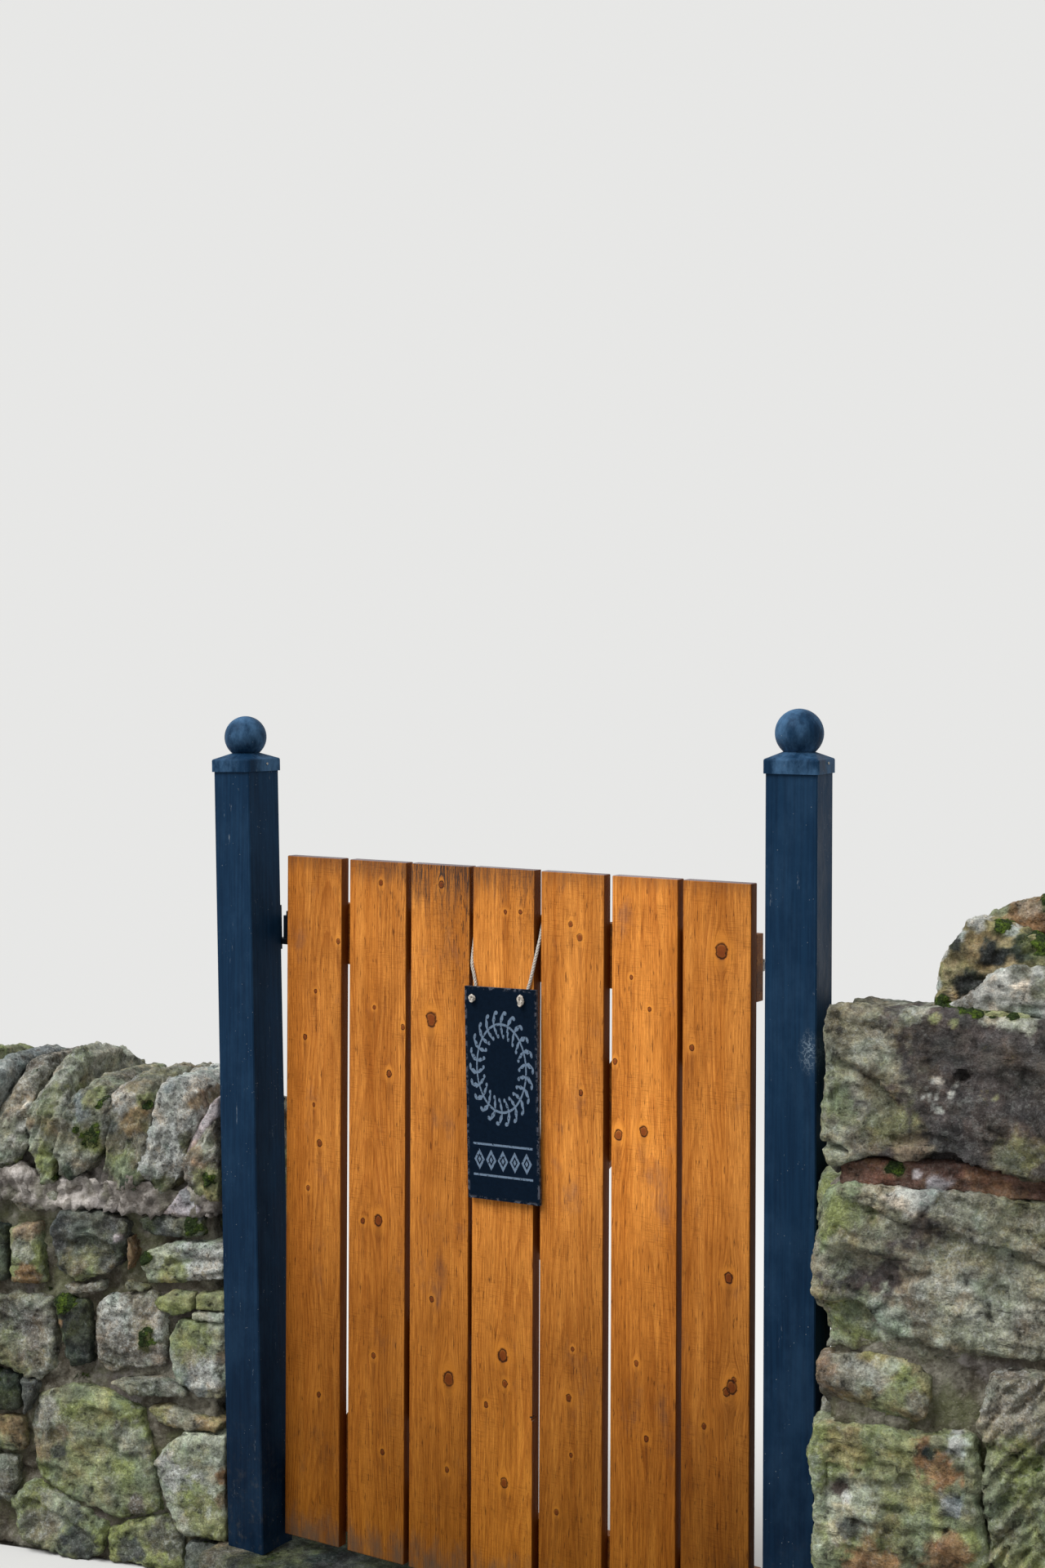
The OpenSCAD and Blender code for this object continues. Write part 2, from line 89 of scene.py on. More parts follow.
class WallSettings(bpy.types.PropertyGroup):
    fine: FloatProperty(
        name="Fine face", description="Size of the faces on stones that are seen first",
        default=0.0045, min=0.003, max=0.02, unit="LENGTH")
    medium: FloatProperty(
        name="Medium face", description="Size of the faces on copings and copes away from the gateway",
        default=0.0072, min=0.003, max=0.02, unit="LENGTH")
    coarse: FloatProperty(
        name="Coarse face", description="Size of the faces on the hidden sides of the walls",
        default=0.010, min=0.006, max=0.03, unit="LENGTH")
    joint: FloatProperty(
        name="Joint", description="Width of the mortar joints between rubble stones",
        default=0.012, min=0.005, max=0.03, unit="LENGTH")
    recess: FloatProperty(
        name="Mortar recess", description="Depth of the mortar behind the faces of the stones",
        default=0.027, min=0.005, max=0.04, unit="LENGTH")
    lumps: FloatProperty(
        name="Lumps", description="Height of the lumps on a rubble stone",
        default=0.015, min=0.0, max=0.04, unit="LENGTH")
    mortar: FloatVectorProperty(
        name="Mortar", description="Colour of the lime mortar", subtype="COLOR",
        default=(0.330, 0.315, 0.255), min=0.0, max=1.0)
    bedding: FloatVectorProperty(
        name="Bedding colour", description="Colour of the mortar under the copings", subtype="COLOR",
        default=(0.700, 0.650, 0.610), min=0.0, max=1.0)
    moss: FloatVectorProperty(
        name="Moss", description="Colour of the moss in full light", subtype="COLOR",
        default=(0.098, 0.155, 0.018), min=0.0, max=1.0)


class TimberSettings(bpy.types.PropertyGroup):
    edge: FloatProperty(
        name="Eased edge", description="Radius of the worn front edges of the boards",
        default=0.002, min=0.0005, max=0.004, unit="LENGTH")
    stain: FloatVectorProperty(
        name="Stain", description="Colour of the stained softwood", subtype="COLOR",
        default=(0.775, 0.292, 0.044), min=0.0, max=1.0)
    latewood: FloatVectorProperty(
        name="Latewood", description="Colour of the dark bands of the grain", subtype="COLOR",
        default=(0.430, 0.120, 0.014), min=0.0, max=1.0)
    screw: FloatProperty(
        name="Screw head", description="Diameter of the countersunk screw heads",
        default=0.009, min=0.005, max=0.012, unit="LENGTH")


class MetalSettings(bpy.types.PropertyGroup):
    paint: FloatVectorProperty(
        name="Post paint", description="Colour of the paint on posts, caps and balls", subtype="COLOR",
        default=(0.0078, 0.0295, 0.068), min=0.0, max=1.0)
    iron: FloatVectorProperty(
        name="Ironwork paint", description="Colour of the paint on hinges and bolt", subtype="COLOR",
        default=(0.010, 0.011, 0.013), min=0.0, max=1.0)
    bolt_head: FloatProperty(
        name="Bolt head", description="Diameter of the domed bolt heads on the straps",
        default=0.018, min=0.010, max=0.022, unit="LENGTH")


class SignSettings(bpy.types.PropertyGroup):
    slate: FloatVectorProperty(
        name="Slate", description="Colour of the riven slate", subtype="COLOR",
        default=(0.0030, 0.0085, 0.019), min=0.0, max=1.0)
    ornament: FloatVectorProperty(
        name="Ornament", description="Colour of the ornament on the slate", subtype="COLOR",
        default=(0.180, 0.250, 0.345), min=0.0, max=1.0)
    strand: FloatProperty(
        name="Strand", description="Diameter of one of the three strands of the twine",
        default=0.0021, min=0.001, max=0.003, unit="LENGTH")
    lay: FloatProperty(
        name="Lay", description="Length of twine in which a strand turns once round",
        default=0.016, min=0.006, max=0.03, unit="LENGTH")


class StageSettings(bpy.types.PropertyGroup):
    floor: FloatVectorProperty(
        name="Floor", description="Colour of the plain floor", subtype="COLOR",
        default=(0.72, 0.72, 0.71), min=0.0, max=1.0)
    sky: FloatProperty(
        name="Sky", description="Strength of the even light from all sides",
        default=0.60, min=0.0, max=2.0)
    key: FloatProperty(
        name="Key light", description="Strength of the large soft light above",
        default=2.7, min=0.0, max=6.0)


# Selecting and shaping, as by hand

def only(obj):
    """Selects one object and makes it the active one."""
    bpy.ops.object.select_all(action="DESELECT")
    obj.select_set(True)
    bpy.context.view_layer.objects.active = obj


def applied(obj):
    """Puts an object's place into its mesh."""
    only(obj)
    bpy.ops.object.transform_apply(location=True, rotation=True, scale=True)
    return obj


def block(name, low, high):
    """A box between two corners, ready to be shaped."""
    bpy.ops.object.select_all(action="DESELECT")
    bpy.ops.mesh.primitive_cube_add(
        size=1, location=[(a + b) / 2 for a, b in zip(low, high)], scale=[b - a for a, b in zip(low, high)])
    obj = bpy.context.active_object
    obj.name = name
    return applied(obj)


def cut(obj, planes):
    """Cuts away what lies beyond each plane, a point and the direction it faces, and closes the cut."""
    only(obj)
    bpy.ops.object.mode_set(mode="EDIT")
    for point, away in planes:
        bpy.ops.mesh.select_all(action="SELECT")
        bpy.ops.mesh.bisect(plane_co=point, plane_no=away, use_fill=True, clear_outer=True)
    bpy.ops.mesh.select_all(action="SELECT")
    bpy.ops.mesh.normals_make_consistent(inside=False)
    bpy.ops.object.mode_set(mode="OBJECT")
    return obj


def levelled(obj, height):
    """Cuts a piece flat underneath at a height."""
    return cut(obj, [((0, 0, height), (0, 0, -1))])


def pick_faces(obj, wanted):
    """Selects in edit mode only the faces that pass a test."""
    bpy.ops.mesh.select_mode(type="FACE")
    bpy.ops.mesh.select_all(action="DESELECT")
    bpy.ops.object.mode_set(mode="OBJECT")
    for face in obj.data.polygons:
        face.select = wanted(face)
    bpy.ops.object.mode_set(mode="EDIT")


def modify(obj, kind, **settings):
    """Adds one modifier and applies it."""
    only(obj)
    made = obj.modifiers.new(kind.lower(), kind)
    for name, value in settings.items():
        setattr(made, name, value)
    bpy.ops.object.modifier_apply(modifier=made.name)
    return obj


def relief(name, size, kind="CLOUDS", depth=2, hard=False):
    """A texture for displacement, made once."""
    made = bpy.data.textures.get(name)
    if made is None:
        made = bpy.data.textures.new(name, kind)
        made.noise_scale = size
        made.contrast = 2.4
        if kind == "CLOUDS":
            made.noise_depth = depth
            made.noise_type = "HARD_NOISE" if hard else "SOFT_NOISE"
        else:
            made.weight_1, made.weight_2 = -1.0, 1.0
    return made


def rounded(obj, face, smooth=2):
    """Gives a cut block even faces and worn arrises."""
    modify(obj, "REMESH", mode="VOXEL", voxel_size=face, use_smooth_shade=True)
    return modify(obj, "SMOOTH", factor=0.5, iterations=smooth)


def roughened(obj, lump, grit, bed_turn=0, bed=0.0):
    """Adds lumps, crags, beds that stand out by turns, and grit. The beds fall to the right by
    bed_turn degrees."""
    modify(obj, "DISPLACE", texture=relief("form", 0.085, depth=3), strength=lump)
    modify(obj, "DISPLACE", texture=relief("crags", 0.040, "VORONOI"), strength=-0.22 * lump, mid_level=0.3)
    modify(obj, "DISPLACE", texture=relief("lumps", 0.026, hard=True), strength=0.24 * lump)
    if bed:
        bpy.ops.object.select_all(action="DESELECT")
        bpy.ops.object.empty_add(rotation=(0, math.radians(bed_turn), 0))
        guide = bpy.context.active_object
        guide.scale = (4.5, 2.0, 0.8)
        bpy.context.view_layer.update()
        modify(obj, "DISPLACE", texture=relief("beds", 0.024, hard=True), strength=bed, direction="Y",
               texture_coords="OBJECT", texture_coords_object=guide)
        only(guide)
        bpy.ops.object.delete()
    return modify(obj, "DISPLACE", texture=relief("grit", 0.011, depth=1), strength=grit)


def pressed(obj, x, z, wide, high, deep, turn, front):
    """Presses a rounded hollow into the front face, as with a sculpting brush. Sizes in millimetres."""
    c, s = math.cos(math.radians(turn)), math.sin(math.radians(turn))
    for vertex in obj.data.vertices:
        if vertex.co.y < front + FACE_BAND:
            dx, dz = vertex.co.x * 1000 - x, vertex.co.z * 1000 - z
            reach = ((dx * c - dz * s) / wide) ** 2 + ((dx * s + dz * c) / high) ** 2
            if reach < 1.0:
                vertex.co.y += deep / 1000 * (1.0 - reach) ** 0.45


def stepped(obj, line, deep, fade, side, front):
    """Sets the front face back below a broken edge, a line of points from one side to the other. The
    step is deepest at the edge and fades downwards and at both ends. Sizes in millimetres."""
    start, end = line[0][0], line[-1][0]
    for vertex in obj.data.vertices:
        along, up = side * vertex.co.x * 1000, vertex.co.z * 1000
        if vertex.co.y > front + FACE_BAND or not start <= along <= end:
            continue
        for (x_a, z_a), (x_b, z_b) in zip(line, line[1:]):
            if x_a <= along <= x_b:
                edge = z_a + (z_b - z_a) * (along - x_a) / (x_b - x_a)
                below = edge - up + 5 * noise.noise(vertex.co * 55)
                ends = min(1.0, (along - start) / 20 + 0.1, (end - along) / 20 + 0.1)
                if 0 < below < fade:
                    vertex.co.y += deep / 1000 * ends * min(1.0, below / 6) * (1.0 - below / fade) ** 0.8
                break


def joined(name, pieces):
    """Joins pieces to one object under a new name."""
    bpy.ops.object.select_all(action="DESELECT")
    for piece in pieces:
        piece.select_set(True)
    bpy.context.view_layer.objects.active = pieces[0]
    if len(pieces) > 1:
        bpy.ops.object.join()
    pieces[0].name = name
    return pieces[0]


def smooth(obj, degrees=35):
    """Shades a piece smooth, but for edges sharper than the angle."""
    only(obj)
    bpy.ops.object.shade_smooth_by_angle(angle=math.radians(degrees))


def placed(obj, matrix):
    """Moves a finished piece from its own frame to its place, into the mesh."""
    obj.matrix_world = matrix
    return applied(obj)


def dressed(obj, surface):
    """Gives a piece, or a CAD node that stays, one material."""
    obj.data.materials.clear()
    obj.data.materials.append(surface)


def finished(obj, body, surface, slot, *nodes):
    """Gives a piece its material and its body, and hides the CAD nodes that it stands for. The slot is not
    used.
    """
    dressed(obj, surface)
    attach(obj, body)
    if nodes:
        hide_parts(*nodes)


def masonry(obj, *nodes):
    """Finishes a stone piece of the gateway."""
    finished(obj, GATEWAY, stone_material(), "sandstone", *nodes)


def mortared(obj, surface, *nodes):
    """Finishes a mortar piece of the gateway."""
    finished(obj, GATEWAY, surface, "sandstone", *nodes)


# Shader nodes

class Net:
    """A node tree, with short calls that add a node, feed it and give back its output."""

    def __init__(self, tree):
        self.tree = tree

    def feed(self, socket, value):
        """Links a socket to another, or sets it. A single number set on a colour is a grey."""
        if isinstance(value, bpy.types.NodeSocket):
            self.tree.links.new(value, socket)
        elif socket.type == "RGBA":
            shade = (value, value, value) if isinstance(value, float) else value
            socket.default_value = (*shade, 1.0)
        else:
            socket.default_value = value

    def node(self, kind, inputs=None, **settings):
        made = self.tree.nodes.new(kind)
        for name, value in settings.items():
            setattr(made, name, value)
        for name, value in (inputs or {}).items():
            self.feed(made.inputs[name], value)
        return made

    def math(self, operation, a, b=0.0):
        return self.node("ShaderNodeMath", {0: a, 1: b}, operation=operation).outputs[0]

    def total(self, first, *others):
        for other in others:
            first = self.math("ADD", first, other)
        return first

    def product(self, first, *others):
        for other in others:
            first = self.math("MULTIPLY", first, other)
        return first

    def weighed(self, *pairs):
        """The total of values, each times its weight."""
        return self.total(*[self.product(value, weight) for value, weight in pairs])

    def less(self, a, b):
        return self.math("SUBTRACT", a, b)

    def swing(self, value, *by):
        """A value from 0 to 1 made to swing about 0, and multiplied."""
        return self.product(self.less(value, 0.5), *by)

    def most(self, a, b):
        return self.math("MAXIMUM", a, b)

    def size(self, value):
        return self.math("ABSOLUTE", value)

    def length(self, a, b):
        """Length of a line from its two parts, square to each other."""
        return self.math("SQRT", self.total(self.product(a, a), self.product(b, b)))

    def vector(self, operation, a, b=(0, 0, 0)):
        return self.node("ShaderNodeVectorMath", {0: a, 1: b}, operation=operation).outputs[0]

    def parts(self, vector):
        return self.node("ShaderNodeSeparateXYZ", {0: vector}).outputs

    def whole(self, x, y, z):
        return self.node("ShaderNodeCombineXYZ", {0: x, 1: y, 2: z}).outputs[0]

    def turned(self, vector, degrees):
        """A point turned about the Y axis."""
        return self.node("ShaderNodeVectorRotate", {"Vector": vector, "Angle": math.radians(degrees)},
                         rotation_type="Y_AXIS").outputs[0]

    def mix(self, share, a, b, blend="MIX"):
        made = self.node("ShaderNodeMix", data_type="RGBA", blend_type=blend)
        for index, value in ((0, share), (6, a), (7, b)):
            self.feed(made.inputs[index], value)
        return made.outputs[2]

    def tinted(self, colour, by):
        """A colour times another."""
        return self.mix(1.0, colour, by, "MULTIPLY")

    def glazed(self, share, colour, by):
        """A colour, with a share of it times another."""
        return self.mix(share, colour, self.tinted(colour, by))

    def varied(self, colour, value, low, high, dark, light):
        """A colour times dark where a value is low, and times light where it is high."""
        return self.tinted(colour, self.mix(self.span(value, low, high), dark, light))

    def noise(self, vector, scale, detail=3.0, rough=0.55, at=None, by=None):
        """Noise at a point, which is first moved by at and then drawn out by by."""
        if at:
            vector = self.vector("ADD", vector, at)
        if by:
            vector = self.vector("MULTIPLY", vector, by)
        return self.node("ShaderNodeTexNoise", {
            "Vector": vector, "Scale": scale, "Detail": detail, "Roughness": rough}).outputs[0]

    def cells(self, vector, scale):
        """Distance from the middle of the nearest cell."""
        return self.node("ShaderNodeTexVoronoi", {"Vector": vector, "Scale": scale}).outputs["Distance"]

    def span(self, value, low, high, start=0.0, end=1.0):
        """value from low to high, drawn out from start to end."""
        return self.node("ShaderNodeMapRange", {
            "Value": value, "From Min": low, "From Max": high, "To Min": start, "To Max": end},
            interpolation_type="SMOOTHSTEP").outputs[0]

    def fade(self, value, low, high):
        """1 where value is under low, falling to 0 over high."""
        return self.span(value, low, high, 1.0, 0.0)

    def group(self, tree, inputs):
        made = self.tree.nodes.new("ShaderNodeGroup")
        made.node_tree = tree
        for name, value in inputs.items():
            self.feed(made.inputs[name], value)
        return made.outputs

    def object_point(self):
        return self.node("ShaderNodeTexCoord").outputs["Object"]

    def object_normal(self):
        return self.node("ShaderNodeTexCoord").outputs["Normal"]

    def finish(self, colour, roughness, height, **constants):
        bump = self.node("ShaderNodeBump", {"Height": height, "Distance": 1.0, "Strength": 1.0})
        shader = self.node("ShaderNodeBsdfPrincipled", {
            "Base Color": colour, "Roughness": roughness, "Normal": bump.outputs[0]})
        for name, value in constants.items():
            shader.inputs[name.replace("_", " ")].default_value = value
        self.node("ShaderNodeOutputMaterial", {"Surface": shader.outputs[0]})


def shader_group(name, inputs, outputs, build):
    """A shader node group, made once: inputs are (name, kind) and outputs are (name, kind)."""
    tree = bpy.data.node_groups.get(name)
    if tree is None:
        tree = bpy.data.node_groups.new(name, "ShaderNodeTree")
        for label, kind in inputs:
            tree.interface.new_socket(label, in_out="INPUT", socket_type="NodeSocket" + kind)
        for label, kind in outputs:
            tree.interface.new_socket(label, in_out="OUTPUT", socket_type="NodeSocket" + kind)
        net = Net(tree)
        given = net.node("NodeGroupInput").outputs
        results = build(net, given)
        end = net.node("NodeGroupOutput")
        for label, value in results.items():
            net.feed(end.inputs[label], value)
    return tree


def material(name, build, *details):
    """A material, made once by its own function."""
    made = bpy.data.materials.get(name)
    if made is None:
        made = bpy.data.materials.new(name)
        made.use_nodes = True
        made.node_tree.nodes.clear()
        build(Net(made.node_tree), *details)
    return made


# Stone

def build_weathered_stone(net, given):
    """Sandstone with mottles, opened beds, soot, rust, speckles, algae, lichen and moss, with painted shade
    in its hollows and crevices. Height is in metres."""
    point = given["Vector"]
    up = net.parts(given["Normal"])[2]
    broad = net.noise(point, 13, 4, 0.6)
    mottle = net.noise(point, 44, 7, 0.68, at=(1.7, 0, 0))
    grain = net.noise(point, 270, 3, 0.75)
    beds = net.noise(point, 1.0, 5, 0.62, by=(16, 16, 80))
    warm = net.noise(point, 21, 4, 0.6, at=(0, 3.3, 0))
    tone = net.varied(given["Tone"], broad, 0.32, 0.68, (0.66, 0.67, 0.68), (1.30, 1.28, 1.24))
    tone = net.glazed(net.span(warm, 0.50, 0.66, 0.0, 0.5), tone, (1.30, 0.98, 0.74))
    tone = net.glazed(net.span(warm, 0.34, 0.48, 0.6, 0.0), tone, (0.86, 1.04, 0.98))
    rust = net.span(net.noise(point, 17, 6, 0.66, at=(2.2, 0, 8)), 0.47, 0.58)
    tone = net.mix(net.product(rust, given["Rust"]), tone,
                   net.mix(mottle, (0.120, 0.060, 0.026), (0.36, 0.205, 0.095)))
    soot = net.product(given["Soot"], net.span(net.noise(point, 8.5, 6, 0.66), 0.44, 0.60, 0.0, 0.9))
    tone = net.mix(soot, tone, (0.036, 0.035, 0.036))
    green = net.noise(point, 10, 5, 0.62, at=(3.1, 0, 0))
    algae = net.product(given["Algae"], net.span(green, 0.38, 0.62, 0.0, 0.85))
    mint = net.span(net.noise(point, 14, 4, 0.6, at=(6.3, 1, 0)), 0.46, 0.60)
    tone = net.mix(algae, tone, net.mix(
        mint, net.mix(mottle, (0.078, 0.102, 0.030), (0.370, 0.425, 0.145)),
        net.mix(mottle, (0.090, 0.120, 0.060), (0.330, 0.400, 0.250))))
    crust = net.span(net.noise(point, 62, 9, 0.76, at=(0, 5.3, 0)), 0.53, 0.585)
    crust = net.product(crust, net.span(net.noise(point, 9, 3), 0.46, 0.60))
    spot = net.fade(net.cells(net.vector("ADD", point, (0, 0, 2.2)), 52), 0.16, 0.26)
    spot = net.product(spot, net.span(net.noise(point, 12, 3), 0.56, 0.63))
    lichen = net.product(given["Lichen"], net.most(net.product(crust, 0.8), net.product(spot, 0.8)))
    tone = net.mix(lichen, tone, (0.52, 0.54, 0.50))
    yellow = net.product(given["Lichen"], net.span(
        net.noise(point, 48, 7, 0.75, at=(7.7, 0, 1)), 0.61, 0.66, 0.0, 0.6))
    tone = net.mix(yellow, tone, (0.36, 0.30, 0.060))
    fleck = net.noise(point, 150, 6, 0.82, at=(0, 0, 4))
    tone = net.mix(
        net.product(given["Speckle"], net.span(fleck, 0.52, 0.58, 0.0, 0.75)), tone, (0.56, 0.58, 0.57))
    tone = net.mix(
        net.product(given["Speckle"], net.span(fleck, 0.40, 0.46, 0.8, 0.0)), tone, (0.040, 0.042, 0.046))
    # The mottle's lows, which the bump sinks, are painted darker as shade, and its highs lighter
    tone = net.varied(tone, mottle, 0.30, 0.70, 0.55, 1.44)
    tone = net.varied(tone, grain, 0.28, 0.72, 0.68, 1.29)
    # Crevices, the lowest mottle and beds: sunk by the bump and painted near black as shade
    shaded_crevice = net.most(
        net.fade(mottle, 0.29, 0.40), net.product(net.fade(beds, 0.30, 0.40), net.span(broad, 0.4, 0.6)))
    tone = net.mix(net.product(shaded_crevice, 0.72), tone, (0.026, 0.026, 0.020))
    fur = net.noise(point, 330, 2, 0.6)
    wet = net.noise(point, 17, 6, 0.70, at=(0, 0, 9.4))
    moss = net.weighed((given["Moss"], 0.34), (up, 0.10), (wet, 0.9))
    moss = net.product(net.span(moss, 0.71, 0.76), net.span(given["Moss"], 0.0, 0.12))
    fresh = net.span(net.noise(point, 44, 5, 0.65), 0.46, 0.66)
    cushion = net.mix(fresh, (0.026, 0.044, 0.012), given["Moss colour"])
    tone = net.mix(moss, tone, net.mix(
        net.span(fur, 0.25, 0.75), net.tinted(cushion, 0.25), net.tinted(cushion, 1.7)))
    height = net.total(
        net.product(mottle, 0.0098), net.product(grain, 0.0032), net.product(beds, 0.0020),
        net.product(shaded_crevice, -0.0022), net.product(fleck, given["Speckle"], 0.0016),
        net.product(moss, net.total(net.product(fur, 0.005), 0.003)))
    return {"Color": tone, "Height": height}


def weathered_stone():
    """The group for every stone."""
    return shader_group(
        "Weathered stone",
        [("Vector", "Vector"), ("Normal", "Vector"), ("Tone", "Color"), ("Soot", "Float"),
         ("Moss", "Float"), ("Algae", "Float"), ("Lichen", "Float"), ("Rust", "Float"),
         ("Speckle", "Float"), ("Moss colour", "Color")], [("Color", "Color"), ("Height", "Float")],
        build_weathered_stone)


def build_stone(net, moss_colour):
    """Stones whose own tone, growth and stains are kept in attributes of those names."""
    tone = net.node("ShaderNodeAttribute", attribute_name="tone").outputs
    growth = net.parts(net.node("ShaderNodeAttribute", attribute_name="growth").outputs["Vector"])
    stain = net.parts(net.node("ShaderNodeAttribute", attribute_name="stain").outputs["Vector"])
    stone = net.group(
        weathered_stone(),
        {"Vector": net.object_point(), "Normal": net.object_normal(), "Tone": tone["Color"],
         "Soot": tone["Alpha"], "Moss": growth[0], "Algae": growth[1], "Lichen": growth[2],
         "Rust": stain[0], "Speckle": stain[1], "Moss colour": moss_colour})
    net.finish(stone["Color"], 0.92, stone["Height"], Specular_IOR_Level=0.2)


def stone_material():
    return material("weathered sandstone", build_stone, bpy.context.scene.walls.moss)


def build_mortar(net, colour, moss_colour, dirty):
    """Old lime mortar: sandy, patched with dirt, pale and pinkish stretches, algae and moss."""
    point = net.object_point()
    up = net.parts(net.object_normal())[2]
    coarse = net.noise(point, 52, 7, 0.70)
    grit = net.cells(point, 170)
    tone = net.mix(
        net.span(coarse, 0.3, 0.7), net.tinted(colour, (0.36, 0.34, 0.31)), net.tinted(colour, 1.25))
    pale = net.span(net.noise(point, 7.5, 5, 0.6, at=(6, 0, 0)), 0.53, 0.60, 0.0, 0.8)
    tone = net.mix(pale, tone, net.mix(coarse, (0.30, 0.27, 0.25), (0.56, 0.52, 0.51)))
    dirt = net.span(net.noise(point, 9, 6, 0.68, at=(0, 2.7, 0)), 0.42, 0.55, 0.0, dirty)
    tone = net.mix(dirt, tone, net.mix(coarse, (0.022, 0.018, 0.013), (0.125, 0.100, 0.068)))
    algae = net.span(net.noise(point, 9, 5, 0.6, at=(4.1, 0, 0)), 0.46, 0.62, 0.0, 0.8 * dirty)
    tone = net.mix(algae, tone, net.mix(coarse, (0.060, 0.070, 0.030), (0.250, 0.270, 0.130)))
    tone = net.mix(net.span(grit, 0.0, 0.30, 0.5, 0.0), tone, (0.36, 0.33, 0.28))
    fur = net.noise(point, 330, 2, 0.6)
    moss = net.span(
        net.total(net.noise(point, 16, 6, 0.68, at=(0, 0, 5.5)), net.product(up, 0.12)), 0.67, 0.73)
    cushion = net.mix(net.span(net.noise(point, 36, 4), 0.45, 0.68), (0.022, 0.036, 0.010), moss_colour)
    tone = net.mix(moss, tone, net.tinted(cushion, net.mix(fur, 0.1, 1.6)))
    height = net.total(net.product(coarse, 0.010), net.product(grit, 0.0014), net.product(moss, fur, 0.006))
    net.finish(tone, 0.95, height, Specular_IOR_Level=0.2)


def mortar_material():
    walls = bpy.context.scene.walls
    return material("lime mortar", build_mortar, walls.mortar, walls.moss, 0.80)


def bedding_material():
    walls = bpy.context.scene.walls
    return material("pale bedding mortar", build_mortar, walls.bedding, walls.moss, 0.62)


# What a stone is made of: tone, then soot, moss, algae and lichen, then rust and speckle, from 0 to 1
LOOKS = {
    "grey": (0.230, 0.238, 0.198, 0.45, 0.20, 0.30, 0.50, 0.20, 0.35),
    "pale": (0.395, 0.405, 0.345, 0.20, 0.15, 0.40, 0.60, 0.15, 0.45),
    "white": (0.590, 0.605, 0.565, 0.30, 0.10, 0.10, 0.80, 0.00, 1.00),
    "green": (0.272, 0.296, 0.192, 0.20, 0.20, 1.00, 0.35, 0.15, 0.15),
    "mint": (0.455, 0.490, 0.390, 0.15, 0.05, 0.50, 0.50, 0.00, 0.40),
    "yellow": (0.340, 0.360, 0.190, 0.10, 0.15, 1.00, 0.30, 0.10, 0.15),
    "dark": (0.105, 0.118, 0.118, 0.60, 0.20, 0.25, 0.25, 0.05, 0.20),
    "black": (0.018, 0.028, 0.026, 0.70, 0.30, 0.35, 0.05, 0.00, 0.10),
    "pink": (0.268, 0.256, 0.220, 0.35, 0.15, 0.15, 0.40, 0.20, 0.60),
    "ochre": (0.340, 0.275, 0.155, 0.20, 0.20, 0.60, 0.30, 0.35, 0.10),
    "brown": (0.172, 0.158, 0.118, 0.45, 0.20, 0.45, 0.30, 0.30, 0.20),
    "beige": (0.300, 0.292, 0.232, 0.30, 0.05, 0.30, 0.35, 0.20, 0.30),
    "tan": (0.310, 0.240, 0.175, 0.30, 0.05, 0.35, 0.30, 0.20, 0.20),
    "plum": (0.092, 0.081, 0.081, 0.55, 0.00, 0.05, 0.20, 0.10, 0.10),
    "rusty": (0.300, 0.180, 0.095, 0.20, 0.00, 0.15, 0.20, 0.90, 0.15),
    "red": (0.175, 0.088, 0.066, 0.35, 0.05, 0.05, 0.10, 0.50, 0.10),
    "lilac": (0.600, 0.545, 0.570, 0.00, 0.00, 0.05, 0.00, 0.00, 0.00),
    "mossy": (0.120, 0.125, 0.060, 0.30, 1.00, 0.80, 0.10, 0.00, 0.00),
    "lime": (0.600, 0.610, 0.570, 0.20, 0.00, 0.05, 0.40, 0.00, 0.20),
    "blue": (0.235, 0.265, 0.275, 0.25, 0.05, 0.15, 0.60, 0.00, 0.50),
}


class Stone(NamedTuple):
    """A stone in a wall face, in millimetres along the wall from its end by the gate and above the
    ground. Patches are other looks (along, up, radius, look). Hollows are (along, up, half length,
    half height, depth, turn). Facets are (along, up, slope along, slope up). Layers are the turn
    and the depth of its beds. Steps are (line, depth, fade)."""
    look: str
    outline: list
    patches: tuple = ()
    hollows: tuple = ()
    facets: tuple = ()
    layers: tuple = (0, 3)
    steps: tuple = ()


def coloured(obj, look, patches=(), side=1):
    """Keeps a stone's tone, growth and stains on its points, with ragged patches of other looks, and
    lifts the moss in cushions."""
    mesh = obj.data
    rows = [LOOKS[look]] * len(mesh.vertices)
    for number, vertex in enumerate(mesh.vertices):
        row = rows[number]
        if patches:
            ragged = 0.55 * noise.noise(vertex.co * 40) + 0.40 * noise.noise(vertex.co * 110)
        for along, up, radius, other in patches:
            gap = math.hypot(vertex.co.x - side * along / 1000, vertex.co.z - up / 1000)
            torn = ragged * min(1.0, radius / 20)
            share = min(1.0, max(0.0, 3.2 * (1.03 - 1000 * gap / radius + torn)))
            row = [a + (b - a) * share for a, b in zip(row, LOOKS[other])]
        rows[number] = row
        if row[4] > 0.35:
            vertex.co += vertex.normal * (row[4] - 0.35) * (0.003 + 0.009 * noise.noise(vertex.co * 190))
    for name, kind, field, values in (
            ("tone", "FLOAT_COLOR", "color", [row[:4] for row in rows]),
            ("growth", "FLOAT_VECTOR", "vector", [row[4:7] for row in rows]),
            ("stain", "FLOAT_VECTOR", "vector", [(row[7], row[8], 0.0) for row in rows])):
        kept = mesh.attributes.new(name, kind, "POINT")
        kept.data.foreach_set(field, [value for point in values for value in point])
    return obj


def hollow(obj, centre, radii, turn=0.0):
    """Carves a rounded hollow out of a block with a flattened ball."""
    bpy.ops.object.select_all(action="DESELECT")
    bpy.ops.mesh.primitive_uv_sphere_add(segments=24, ring_count=12, radius=1, location=centre,
                                         rotation=(0, math.radians(turn), 0), scale=radii)
    tool = applied(bpy.context.active_object)
    modify(obj, "BOOLEAN", operation="DIFFERENCE", object=tool, solver="EXACT")
    only(tool)
    bpy.ops.object.delete()


